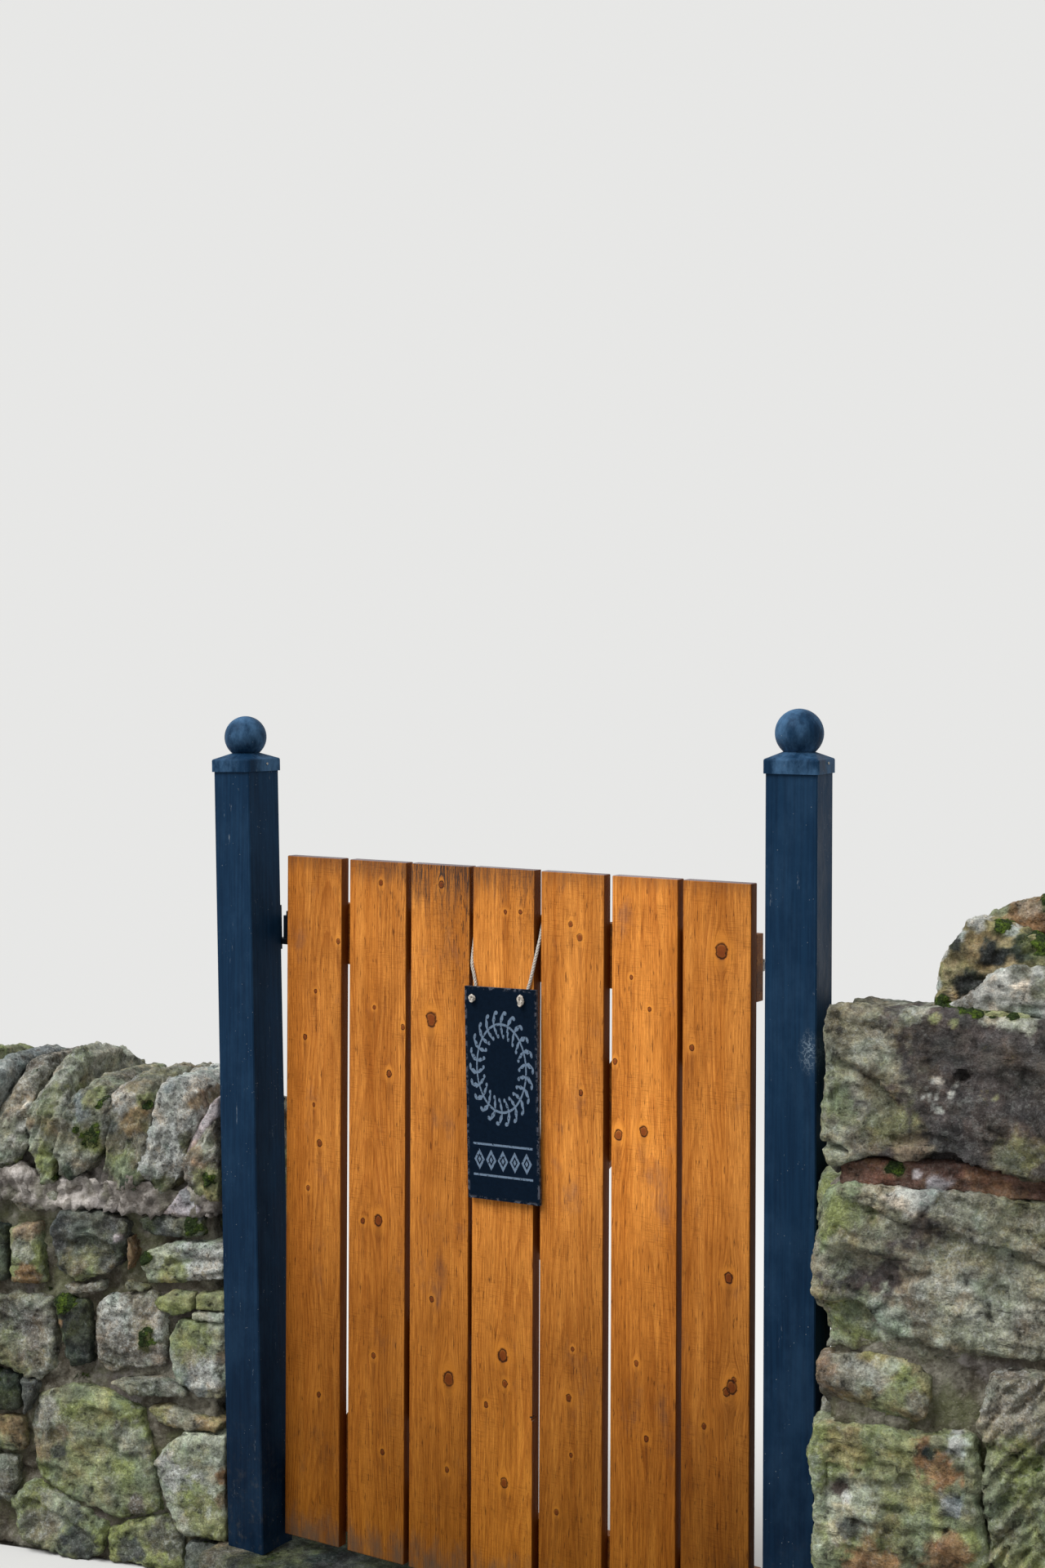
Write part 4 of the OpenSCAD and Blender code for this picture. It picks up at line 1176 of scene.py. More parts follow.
def top_stone(number, start, end, look, face, patches=(), hollows=(), steps=()):
    """A long squared stone on the right wall, its top falling to the front and its ends worn."""
    foot, top = (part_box(node)[1].z for node in ("right_wall", "right_top_stone_1"))
    front = top * batter
    left = start + 0.010
    outline = [(left + 0.013, 1.158), (left + 0.004, 1.135), (left + 0.002, 1.106), (left + 0.005, 1.067),
               (left, 1.029), (left - 0.002, 0.971), (left, 0.935), (left + 0.008, 0.919),
               (left + 0.022, foot), (end - 0.006, foot), (end, 1.0), (end - 0.004, 1.158)]
    stone = faced_block(f"weathered_top_stone_{number}", outline, foot * batter - 0.002,
                        wall_thick + 0.01, 0.010, random.Random(number))
    cut(stone, [
        ((0, front - 0.004, top), (0, -1, batter)),
        ((0, wall_thick - front, top), (0, 1, batter)),
        ((0, front, top + 0.003), (0, math.tan(bed_fall), 1)),
        ((0, front + 0.004, top - 0.003), (0, -1, 0.9)),
        ((end - 0.008, front + 0.004, foot + 0.1), (1, -0.7, 0.1)),
    ])
    rounded(stone, face)
    for carved in hollows:
        pressed(stone, *carved, front)
    for line, deep, fade in steps:
        stepped(stone, line, deep, fade, 1, front)
    roughened(stone, 0.009, 0.0026, 6, 0.0035)
    levelled(stone, foot + 0.0005)
    return placed(coloured(stone, look, patches), wall_frame("right_wall"))


class GATEWAY_OT_top_course(bpy.types.Operator):
    """Cut the two big weathered stones of the right wall's top course"""
    bl_idname = "gateway.top_course"
    bl_label = "Top course"

    def execute(self, context):
        coarse = context.scene.walls.coarse
        matrix = wall_frame("right_wall")
        foot, top = (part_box(node)[1].z for node in ("right_wall", "right_top_stone_1"))
        stone = top_stone(1, 0.0, 0.560, "plum", TOP_STONE_FACE, TOP_STONE_PATCHES, TOP_STONE_HOLLOWS,
                          TOP_STONE_STEPS)
        ledge = rubble_stone(RED_LEDGE, 1, 77, TOP_STONE_FACE)
        ledge = placed(ledge, matrix @ Matrix.Translation((0, 0.016, 0)))
        masonry(joined(stone.name, [stone, ledge]), "right_top_stone_1")
        stone = top_stone(2, 0.570, wall_length("right_wall"), "grey", coarse)
        masonry(stone, "right_top_stone_2")
        joint = block("top_course_mortar", (0.535, 0.052, foot - 0.020), (0.595, wall_thick - 0.052, top))
        cut(joint, [((0, top * batter, top - 0.008), (0, math.tan(bed_fall), 1))])
        rounded(joint, coarse, 1)
        roughened(joint, 0.010, 0.006)
        mortared(placed(joint, matrix), mortar_material())
        return {"FINISHED"}


# The two whole copes on the right wall: look, start, length, depth and height
WHOLE_COPES = [("pale", 0.438, 0.262, 0.240, 0.153), ("grey", 0.710, 0.278, 0.255, 0.162)]

# How far the copes reach into their bed
COPE_FOOT = -0.006


def squared_cope(name, look, start, length, near, depth, high, rnd):
    """A rounded cope in the frame of the sloping bed, X along the wall and Z square to the bed."""
    stone = block(name, (start, near, COPE_FOOT), (start + length, near + depth, high))
    planes = []
    for side, y in ((-1, near), (1, near + depth)):
        for degrees, reach in ((28, 0.014), (50, 0.020), (72, 0.012)):
            turn = math.radians(degrees + rnd.uniform(-6, 6))
            planes.append(((0, y - side * reach, high - reach), (0, side * math.cos(turn), math.sin(turn))))
    for side, x in ((-1, start), (1, start + length)):
        for degrees, reach in ((24, 0.010), (48, 0.022), (72, 0.014)):
            turn = math.radians(degrees + rnd.uniform(-6, 6))
            planes.append(((x - side * reach, 0, high - reach), (side * math.cos(turn), 0, math.sin(turn))))
        for along, y in ((-1, near), (1, near + depth)):
            planes.append(((x - side * 0.014, y - along * 0.014, 0), (side, along, rnd.uniform(0.05, 0.3))))
    cut(stone, planes)
    rounded(stone, bpy.context.scene.walls.medium)
    roughened(stone, 0.018, 0.004, 0, 0.010)
    return coloured(levelled(stone, COPE_FOOT), look)


# The broken first cope: each piece as a stone over its bed, how far back it starts and how deep it is
BROKEN_COPE = [
    (Stone(
        "ochre", [(165, -6), (167, 29), (174, 68), (187, 97), (206, 127), (221, 141), (245, 138),
                  (282, 123), (327, 111), (424, 100), (424, -6)],
        ((166, 40, 13, "white"), (174, 88, 15, "white"), (196, 122, 18, "white"), (226, 138, 18, "white"),
         (275, 124, 13, "white"), (217, 46, 28, "black"), (252, 88, 24, "black"), (300, 100, 28, "black"),
         (196, 100, 12, "black"), (180, 14, 12, "mossy"), (262, 128, 14, "mossy"), (320, 108, 24, "mossy"),
         (400, 90, 30, "mossy"))), 0.050, 0.115),
    (Stone("rusty", [(214, -6), (216, 60), (222, 120), (236, 148), (268, 164), (320, 170), (400, 165),
                     (424, 150), (424, -6)],
           ((245, 156, 20, "green"), (330, 172, 26, "mossy"), (290, 160, 20, "tan"))), 0.155, 0.145),
    (Stone("lime", [(186, -6), (192, 9), (222, 27), (254, 62), (292, 72), (350, 76), (424, 80), (424, -6)],
           ((350, 50, 40, "beige"), (215, 14, 22, "pink"), (300, 66, 20, "grey"))), 0.024, 0.05),
    (Stone(
        "yellow", [(176, -6), (182, 5), (222, 4), (262, 6), (306, 6), (330, -6)], ((200, 6, 22, "mossy"),)),
     0.010, 0.04),
]


def broken_cope(name, rnd):
    """The first cope, split in big pieces and one thin crumb, joined."""
    pieces = []
    for spec, near, deep in BROKEN_COPE:
        outline = metres(spec.outline)
        thin = max(p[1] for p in outline) < 0.02
        piece = faced_block("piece", outline, near, near + deep, 0.004 if thin else 0.010, rnd)
        rounded(piece, 0.0035 if thin else bpy.context.scene.walls.fine)
        roughened(piece, 0.006 if thin else 0.014, 0.003, -8, 0.006)
        pieces.append(coloured(piece, spec.look, spec.patches))
    return joined(name, pieces)


class GATEWAY_OT_copes(bpy.types.Operator):
    """Set three copes along the right wall on the fall of its top: one broken and two rounded"""
    bl_idname = "gateway.copes"
    bl_label = "Copes"

    def execute(self, context):
        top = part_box("right_top_stone_1")[1].z
        seat = Matrix.Translation((0, top * batter, top)) @ Matrix.Rotation(-bed_fall, 4, "X")
        seat = wall_frame("right_wall") @ seat
        copes = [broken_cope("weathered_cope_1", random.Random(501))]
        for number, (look, start, length, depth, high) in enumerate(WHOLE_COPES, 2):
            copes.append(squared_cope(f"weathered_cope_{number}", look, start, length, 0.050, depth, high,
                                      random.Random(500 + number)))
        for number, stone in enumerate(copes, 1):
            masonry(placed(stone, seat), f"right_cope_{number}")
        return {"FINISHED"}


class GATEWAY_OT_threshold(bpy.types.Operator):
    """Dress the worn threshold stone under the gate"""
    bl_idname = "gateway.threshold"
    bl_label = "Threshold"

    def execute(self, context):
        low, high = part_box("threshold_stone")
        stone = block("worn_threshold", (low.x, low.y, 0.0005), high)
        cut(stone, [((0, low.y + 0.006, high.z), (0, -1, 0.8)), ((0, high.y - 0.004, high.z), (0, 1, 0.8))])
        rounded(stone, 0.007)
        roughened(stone, 0.004, 0.0016, 0, 0.003)
        levelled(stone, 0.001)
        # Black as painted shade under the gate, with brown stone at both ends
        coloured(stone, "black", ((-570, 66, 56, "brown"), (560, 66, 60, "brown")))
        masonry(stone, "threshold_stone")
        return {"FINISHED"}


# Timber

def build_knot(net, given):
    """One knot in a board: how far the grain bends round it, the knot itself and its halo."""
    point = net.vector("SUBTRACT", given["Vector"], given["Centre"])
    wobble = net.swing(net.noise(given["Vector"], 120, 3), given["Radius"], 1.3)
    x, _, z = net.parts(point)
    across = net.total(x, wobble)
    long_z = net.math("DIVIDE", z, 1.25)
    near = net.length(across, long_z)
    ratio = net.math("DIVIDE", near, given["Radius"])
    tall_z = net.math("DIVIDE", z, 2.6)
    reach = net.most(
        net.weighed((x, x), (tall_z, tall_z)), net.product(given["Radius"], given["Radius"], 1.4))
    bend = net.math("DIVIDE", net.product(x, given["Radius"], given["Radius"], 1.4), reach)
    knot = net.fade(ratio, 0.55, 1.10)
    ring = net.product(net.span(ratio, 0.70, 0.92), net.fade(ratio, 0.95, 1.20))
    halo = net.product(net.span(ratio, 1.0, 1.4), net.fade(ratio, 1.4, 3.2))
    streak = net.product(
        net.fade(net.size(x), 0.0, 1.0), net.span(z, -0.09, -0.01), net.fade(z, 0.0, 0.005))
    streak = net.product(streak, net.fade(net.math("DIVIDE", net.size(x), given["Radius"]), 0.3, 1.1))
    return {"Bend": net.total(given["Bend"], bend), "Knot": net.most(given["Knot"], knot),
            "Ring": net.most(given["Ring"], ring), "Halo": net.most(given["Halo"], halo),
            "Streak": net.most(given["Streak"], streak)}


NO_KNOTS = {"Bend": 0.0, "Knot": 0.0, "Ring": 0.0, "Halo": 0.0, "Streak": 0.0}
KNOT_MARKS = [(name, "Float") for name in NO_KNOTS]


def knot_group():
    """The group that adds one knot to the marks of those before it."""
    return shader_group(
        "Knot", [("Vector", "Vector"), ("Centre", "Vector"), ("Radius", "Float")] + KNOT_MARKS, KNOT_MARKS,
        build_knot)


def build_softwood(net, given):
    """Stained softwood, its grain along Z and its face looking along -Y. Height is in metres."""
    x, y, z = net.parts(given["Vector"])
    grain_x = net.less(x, given["Bend"])
    seed = given["Seed"]
    along = net.whole(grain_x, net.total(y, seed), net.product(z, 0.05))
    slow = net.whole(seed, 0.0, z)
    sway = net.swing(net.noise(slow, 1.6, 2), 0.060)
    depth = net.total(given["Heart depth"], net.product(z, 0.020),
                      net.swing(net.noise(slow, 1.3, 2, at=(9, 0, 0)), 0.050))
    from_heart = net.total(grain_x, net.product(given["Heart"], -1.0), sway)
    deep = net.total(depth, y)
    rho = net.length(from_heart, deep)
    rho = net.total(rho, net.swing(net.noise(along, 60, 2), 0.004))
    year = net.math("FRACT", net.product(rho, 240.0))
    late = net.product(net.span(year, 0.35, 0.92), net.fade(year, 0.93, 1.0))
    late = net.product(late, net.span(net.noise(along, 22, 2), 0.3, 0.7, 0.25, 1.0))
    fine = net.whole(grain_x, y, net.product(z, 0.035))
    fibre = net.noise(fine, 520, 4, 0.8)
    streak = net.noise(along, 120, 6, 0.72)
    blotch = net.noise(given["Vector"], 9.0, 5, 0.62, by=(1.0, 1.0, 0.35))
    tone = net.mix(net.product(late, 0.52), given["Stain"], given["Latewood"])
    tone = net.mix(net.span(streak, 0.42, 0.68, 0.0, 0.42), tone, given["Latewood"])
    hue = net.noise(along, 26, 3, 0.6, by=(1, 1, 0.6))
    tone = net.varied(tone, hue, 0.32, 0.68, (0.84, 0.76, 0.62), (1.12, 1.15, 1.18))
    # Fine marks of the saw across the board, in patches
    sawn = net.noise(given["Vector"], 1.0, 4, 0.7, by=(34, 34, 640))
    rubbed = net.span(net.noise(given["Vector"], 11, 4, 0.6, at=(3, 0, 0)), 0.42, 0.60)
    tone = net.glazed(net.product(net.span(sawn, 0.50, 0.64, 0.0, 0.55), rubbed), tone, (0.48, 0.40, 0.34))
    fleck = net.noise(given["Vector"], 330, 3, 0.6, by=(1.0, 1.0, 0.10))
    tone = net.mix(net.span(fleck, 0.60, 0.67, 0.0, 0.75), tone, (0.110, 0.030, 0.007))
    mauve = net.noise(given["Vector"], 11, 6, 0.68, at=(0, 4, 2), by=(1.0, 1.0, 0.5))
    tone = net.mix(net.span(mauve, 0.56, 0.72, 0.0, 0.50), tone, (0.175, 0.090, 0.060))
    tone = net.varied(tone, blotch, 0.3, 0.7, (0.80, 0.77, 0.72), (1.12, 1.14, 1.16))
    tone = net.varied(tone, fibre, 0.30, 0.70, (0.60, 0.54, 0.48), (1.22, 1.26, 1.33))
    tone = net.mix(net.product(given["Halo"], 0.50), tone, net.tinted(given["Stain"], (1.12, 1.10, 0.9)))
    tone = net.mix(net.product(given["Streak"], 0.35), tone, (0.16, 0.045, 0.010))
    tone = net.mix(net.product(given["Knot"], 0.88), tone,
                   net.mix(fibre, (0.120, 0.024, 0.005), (0.310, 0.070, 0.012)))
    tone = net.mix(
        net.product(given["Ring"], net.span(streak, 0.34, 0.52, 0.45, 1.0)), tone, (0.045, 0.012, 0.004))
    height = net.weighed((fibre, 0.00045), (sawn, 0.00034), (late, 0.00030), (given["Ring"], -0.0007))
    return {"Color": tone, "Height": height, "Fibre": fibre, "Streaks": streak}


def softwood():
    """The group for all stained wood."""
    return shader_group(
        "Stained softwood",
        [("Vector", "Vector"), ("Seed", "Float"), ("Heart", "Float"), ("Heart depth", "Float"),
         ("Stain", "Color"), ("Latewood", "Color")] + KNOT_MARKS,
        [("Color", "Color"), ("Height", "Float"), ("Fibre", "Float"), ("Streaks", "Float")], build_softwood)


def build_board(net, centre, heart, heart_depth, seed, grey, bright, foot, knots, stain, latewood):
    """One board of the gate: grain and knots, weathered grey at its top end, darker towards the bottom and
    dirty below.
    """
    point = net.object_point()
    x, _, z = net.parts(point)
    nx, _, nz = net.parts(net.object_normal())
    marks = NO_KNOTS
    for place, above, radius in knots:
        outputs = net.group(
            knot_group(), {"Vector": point, "Centre": (centre + place / 1000, 0, gate_low_z + above / 1000),
                           "Radius": radius / 1000, **marks})
        marks = {name: outputs[name] for name in NO_KNOTS}
    wood = net.group(
        softwood(), {"Vector": point, "Seed": seed, "Heart": centre + heart, "Heart depth": heart_depth,
                     "Stain": stain, "Latewood": latewood, **marks})
    tone = wood["Color"]
    # The end grain, the ragged grey wear just under it and long dark checks
    below_top = net.less(gate_high_z, z)
    ragged = net.total(below_top, net.swing(wood["Streaks"], -0.22 * grey))
    worn = net.fade(ragged, 0.0, 0.008 + 0.070 * grey)
    worn = net.product(worn, net.span(wood["Fibre"], 0.42, 0.54, 0.12, 1.0), min(1.0, 0.25 + 0.65 * grey))
    tone = net.mix(worn, tone, (0.050, 0.034, 0.024))
    # Black specks in the open grain below the top, further down along one edge
    open_grain = net.span(net.noise(point, 250, 4, 0.72, by=(1, 1, 0.16)), 0.54, 0.61)
    from_edge = net.less(centre + 0.06, x)
    weather = net.fade(net.total(below_top, net.product(from_edge, 2.2)), 0.03, 0.06 + 0.30 * grey)
    tone = net.mix(net.product(open_grain, weather, min(0.85, 0.7 * grey)), tone, (0.030, 0.021, 0.015))
    end = net.span(nz, 0.5, 0.8)
    tone = net.mix(
        net.product(end, 0.9), tone, net.mix(wood["Fibre"], (0.10, 0.09, 0.08), (0.33, 0.30, 0.27)))
    # Darker and browner towards the ground, with grey dirt splashed on the bottom
    up = net.less(z, gate_low_z)
    above_foot = net.span(up, 0.02, 0.85)
    tone = net.tinted(tone, net.mix(
        above_foot, (foot * bright, foot * 0.98 * bright, foot * 0.80 * bright), (bright, bright, bright * 1.22)))
    splash = net.total(
        net.fade(up, 0.0, 0.16), net.swing(net.noise(point, 40, 4, 0.65, by=(1, 1, 0.4)), 1.3))
    tone = net.mix(net.span(splash, 0.62, 1.25, 0.0, 0.75), tone, (0.090, 0.070, 0.052))
    # Sides are painted dark: bare wood black with dirt, and painted shade in the gaps between the boards
    side = net.span(net.size(nx), 0.55, 0.9)
    tone = net.mix(
        net.product(side, 0.90), tone, net.mix(wood["Fibre"], (0.060, 0.014, 0.002), (0.240, 0.062, 0.005)))
    roughness = net.span(wood["Streaks"], 0.3, 0.7, 0.48, 0.62)
    net.finish(tone, roughness, wood["Height"], Specular_IOR_Level=0.08)


# Each board from the hinge side: heart across and behind the face in metres, grey wear at the top,
# how bright it is and how much of that is left at its foot, and its knots as millimetres from the
# middle, above the bottom edge, and radius
BOARDS = [
    (0.030, 0.050, 0.45, 0.84, 0.52,
     [(-19, 897, 4), (4, 981, 3), (1, 778, 3), (14, 711, 5), (-11, 628, 4), (54, 1073, 4), (15, 263, 4)]),
    (-0.020, 0.035, 0.75, 0.92, 0.52,
     [(-6, 963, 3), (55, 934, 4), (26, 850, 5), (7, 1182, 4), (-29, 586, 4), (4, 591, 8), (-5, 353, 4),
      (15, 188, 4)]),
    (-0.055, 0.030, 1.30, 0.90, 0.55,
     [(-17, 952, 10), (-14, 471, 4), (22, 340, 10), (3, 1186, 5), (19, 184, 4)]),
    (0.045, 0.060, 0.80, 0.98, 0.62,
     [(2, 399, 9), (7, 352, 5), (-31, 310, 4), (6, 185, 7), (4, 1147, 3), (34, 1149, 3)]),
    (-0.010, 0.045, 0.35, 0.95, 0.47,
     [(-3, 1135, 4), (15, 1114, 5), (18, 858, 4), (4, 433, 3), (-3, 351, 5), (2, 257, 3), (-26, 157, 4)]),
    (0.010, 0.050, 0.30, 1.12, 0.43,
     [(-24, 1056, 3), (10, 1007, 3), (-47, 797, 7), (0, 808, 7), (-12, 430, 4), (7, 311, 4),
      (-54, 916, 4)]),
    (-0.030, 0.040, 0.30, 0.88, 0.34,
     [(9, 1110, 10), (-43, 952, 4), (24, 594, 7), (30, 422, 9), (21, 413, 6), (34, 434, 4), (-19, 351, 4)]),
]


# A chip in the edge of one board: two hollows, as height above the bottom edge, radii and turn
CHIPPED_BOARD = 4
BOARD_CHIPS = ((0.305, (0.0060, 0.0120, 0.0022), 4), (0.303, (0.0030, 0.0120, 0.0045), 0))


class GATEWAY_OT_boards(bpy.types.Operator):
    """Make the seven upright boards with eased edges, each with its own grain and knots"""
    bl_idname = "gateway.boards"
    bl_label = "Boards"

    def execute(self, context):
        timber = context.scene.timber
        for number, (heart, depth, grey, bright, foot, knots) in enumerate(BOARDS, 1):
            low, high = board_boxes[number - 1]
            board = block(f"stained_board_{number}", low, high)
            for above, radii, turn in BOARD_CHIPS if number == CHIPPED_BOARD else ():
                hollow(board, (high.x + 0.001, low.y + 0.002, gate_low_z + above), radii, turn)
            modify(board, "BEVEL", width=timber.edge, segments=3, limit_method="ANGLE",
                   angle_limit=math.radians(50))
            smooth(board)
            surface = material(
                f"stained board {number}", build_board, (low.x + high.x) / 2, heart, depth,
                number * 0.731, grey, bright, foot, knots, timber.stain, timber.latewood)
            finished(board, GATE, surface, "stained_boards", f"board_{number}")
        return {"FINISHED"}


def build_ledge(net, turn, seed, stain, latewood):
    """Ledges and brace: the same stained wood, with its grain turned along the piece, darkened as painted
    shade and dusted.
    """
    point = net.object_point()
    wood = net.group(softwood(), {"Vector": net.turned(point, turn), "Seed": seed, "Heart": seed * 0.01,
                                  "Heart depth": 0.060, "Stain": stain, "Latewood": latewood, **NO_KNOTS})
    dust = net.span(net.noise(point, 18, 5, 0.65), 0.48, 0.7, 0.0, 0.5)
    # The stain is darkened as painted shade on the back of the gate, with patches of brown dust over it
    tone = net.mix(dust, net.tinted(wood["Color"], (0.62, 0.58, 0.54)), (0.085, 0.060, 0.042))
    net.finish(tone, 0.62, wood["Height"], Specular_IOR_Level=0.3)


class GATEWAY_OT_ledges(bpy.types.Operator):
    """Finish the ledges and the brace on the back, with the screws that hold the boards"""
    bl_idname = "gateway.ledges"
    bl_label = "Ledges and brace"

    def execute(self, context):
        timber = context.scene.timber
        for node, turn, seed in (("upper_ledge", 90, 2.3), ("lower_ledge", 90, 4.1), ("brace", 46.6, 6.7)):
            surface = material(f"stained {node}", build_ledge, turn, seed, timber.stain, timber.latewood)
            dressed(bpy.data.objects[node], surface)
        heads = []
        for node in ("upper_ledge", "lower_ledge"):
            low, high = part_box(node)
            for board in board_boxes:
                for share, rise in ((0.28, 0.24), (0.72, 0.76)):
                    x = board[0].x + share * board_w
                    z = low.z + rise * (high.z - low.z)
                    heads.append(fixing_head((x, ledge_back, z), timber.screw, 0.0016))
        screws = joined("ledge_screws", heads)
        finished(screws, GATE, material("dull screw steel", build_steel), "bolt_steel")
        return {"FINISHED"}


# Paint, steel and fixings

def build_paint_wear(net, given):
    """Brushed paint: faint runs of the brush up the post, chips and splashes near the ground, painted shade
    that darkens it low down, and dust in a bright blue that is partly painted sky light.
    """
    point = given["Vector"]
    brushed = net.noise(point, 1.0, 3, 0.6, by=(210, 210, 7))
    dust = net.noise(point, 15, 6, 0.68, by=(1, 1, 0.55))
    speck = net.fade(net.cells(point, 150), 0.06, 0.11)
    speck = net.product(speck, net.span(net.noise(point, 26, 4, 0.7), 0.54, 0.60))
    z = net.parts(point)[2]
    low = net.fade(z, 0.05, 0.38)
    splash = net.product(low, net.span(net.noise(point, 60, 5, 0.7), 0.50, 0.72))
    tone = net.varied(given["Paint"], brushed, 0.3, 0.7, (0.80, 0.80, 0.82), (1.18, 1.18, 1.16))
    # Darker towards the ground, as painted shade
    tone = net.varied(tone, z, 0.1, 1.3, (0.52, 0.58, 0.62), 1.0)
    # Dust in patches, in a bright blue that is partly painted sky light on the caps and balls
    tone = net.mix(net.product(net.span(dust, 0.40, 0.70), given["Dust"]), tone, (0.082, 0.182, 0.325))
    scratch = net.noise(point, 1.0, 6, 0.75, by=(90, 90, 14))
    tone = net.mix(net.span(scratch, 0.655, 0.69, 0.0, 0.6), tone, (0.19, 0.24, 0.29))
    tone = net.mix(net.product(splash, 0.40), tone, (0.10, 0.10, 0.09))
    tone = net.mix(net.product(speck, 0.75), tone, (0.42, 0.47, 0.50))
    height = net.weighed((brushed, 0.00030), (net.noise(point, 60, 2), 0.0004), (speck, 0.0002))
    rough = net.span(dust, 0.35, 0.7, 0.42, 0.66)
    return {"Color": tone, "Roughness": rough, "Height": height}


def build_paint(net, colour, dust, web=None):
    """Paint with its wear, darkened low down as painted shade, and a dusty cobweb at one place, given as
    its middle.
    """
    worn = net.group(shader_group(
        "Painted wear", [("Vector", "Vector"), ("Paint", "Color"), ("Dust", "Float")],
        [("Color", "Color"), ("Roughness", "Float"), ("Height", "Float")], build_paint_wear),
                     {"Vector": net.object_point(), "Paint": colour, "Dust": dust})
    tone = worn["Color"]
    if web:
        away = net.vector("MULTIPLY", net.vector("SUBTRACT", net.object_point(), web), (55, 10, 26))
        threads = net.size(net.less(net.noise(net.object_point(), 115, 4, 0.6), 0.5))
        near = net.fade(
            net.node("ShaderNodeVectorMath", {0: away}, operation="LENGTH").outputs["Value"], 0.1, 1.1)
        tone = net.mix(
            net.product(near, net.span(threads, 0.0, 0.05, 0.85, 0.10)), tone, (0.230, 0.310, 0.390))
    # Darker again below 0.7 m, as painted shade
    up = net.parts(net.object_point())[2]
    tone = net.tinted(tone, net.span(up, 0.10, 0.70, 0.72, 1.0))
    net.finish(tone, worn["Roughness"], worn["Height"], Specular_IOR_Level=0.05)


def build_steel(net):
    """Dull plated steel with brown stains."""
    point = net.object_point()
    stain = net.span(net.noise(point, 70, 5, 0.65), 0.48, 0.66)
    tone = net.mix(net.noise(point, 300, 2), (0.19, 0.18, 0.16), (0.34, 0.33, 0.31))
    tone = net.mix(net.product(stain, 0.8), tone, (0.105, 0.050, 0.025))
    bump = net.node(
        "ShaderNodeBump", {"Height": net.noise(point, 400, 3), "Distance": 0.0002, "Strength": 1.0})
    metal = net.span(stain, 0.0, 1.0, 0.9, 0.2)
    shader = net.node(
        "ShaderNodeBsdfPrincipled",
        {"Base Color": tone, "Metallic": metal, "Roughness": net.span(stain, 0.0, 1.0, 0.42, 0.8),
         "Normal": bump.outputs[0]})
    net.node("ShaderNodeOutputMaterial", {"Surface": shader.outputs[0]})


def fixing_head(place, size, proud, facing_back=True):
    """A low domed head on a face that looks along +Y, or along +X, its foot sunk in the face."""
    bpy.ops.object.select_all(action="DESELECT")
    bpy.ops.mesh.primitive_cylinder_add(vertices=16, radius=size / 2, depth=proud * 2)
    head = bpy.context.active_object
    bpy.ops.object.mode_set(mode="EDIT")
    pick_faces(head, lambda face: face.normal.z > 0.9)
    bpy.ops.mesh.bevel(offset=proud * 0.6, segments=2, affect="EDGES")
    bpy.ops.object.mode_set(mode="OBJECT")
    degrees, axis = (-90, "X") if facing_back else (90, "Y")
    placed(head, Matrix.Translation(place) @ Matrix.Rotation(math.radians(degrees), 4, axis))
    smooth(head, 40)
    return head


# Thickness of the hinge straps, and the places of their bolts from the hinge end
STRAP_THICK = 0.005
STRAP_BOLTS = (0.075, 0.160, 0.250, 0.355)

# The cobweb at the right post, as the middle of its threads
WEB = (0.582, -0.050, 1.068)


class GATEWAY_OT_ironwork(bpy.types.Operator):
    """Paint the posts, their caps and balls, and the hinges and bolt with their fixings"""
    bl_idname = "gateway.ironwork"
    bl_label = "Posts and ironwork"

    def execute(self, context):
        metal = context.scene.metal
        posts = material("slate blue paint", build_paint, metal.paint, 0.10, WEB)
        # Caps and balls: much of the bright blue dust, partly painted sky light on their tops
        tops = material("dusty slate blue paint", build_paint, metal.paint, 0.85)
        iron = material("black ironwork paint", build_paint, metal.iron, 0.25)
        steel = material("dull bolt steel", build_steel)
        finishes = (
            (posts, ("left_post", "right_post")),
            (tops, ("left_cap", "right_cap", "left_ball", "right_ball")),
            (iron, ("upper_hook", "lower_hook", "upper_strap", "lower_strap")),
            (steel, ("bolt_plate", "bolt_bar", "bolt_keep")),
        )
        for surface, nodes in finishes:
            for node in nodes:
                dressed(bpy.data.objects[node], surface)
        heads = []
        for node in ("upper_strap", "lower_strap"):
            low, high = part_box(node)
            z = (low.z + high.z) / 2
            for along in STRAP_BOLTS:
                place = (low.x + along, ledge_back + STRAP_THICK, z)
                heads.append(fixing_head(place, metal.bolt_head, 0.004))
        finished(joined("strap_bolts", heads), GATE, iron, "hinge_paint")
        # A small nail through the skirt of each cap
        for node, turn in (("left_cap", 0.0), ("right_cap", 7.5)):
            low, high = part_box(node)
            middle = (low + high) / 2
            out = Matrix.Rotation(math.radians(turn), 4, "Z") @ Vector((cap_half + 0.0002, 0.004, 0))
            head = fixing_head((middle.x + out.x, middle.y + out.y, low.z + 0.016), 0.0045, 0.0012, False)
            head.name = node + "_nail"
            finished(head, GATEWAY, steel, "bolt_steel")
        return {"FINISHED"}


# Slate and twine

# Degrees by which the slate hangs out of level, and half its width and height
SLATE_TILT = 1.5
SLATE_HALF = (0.0715, 0.1785)


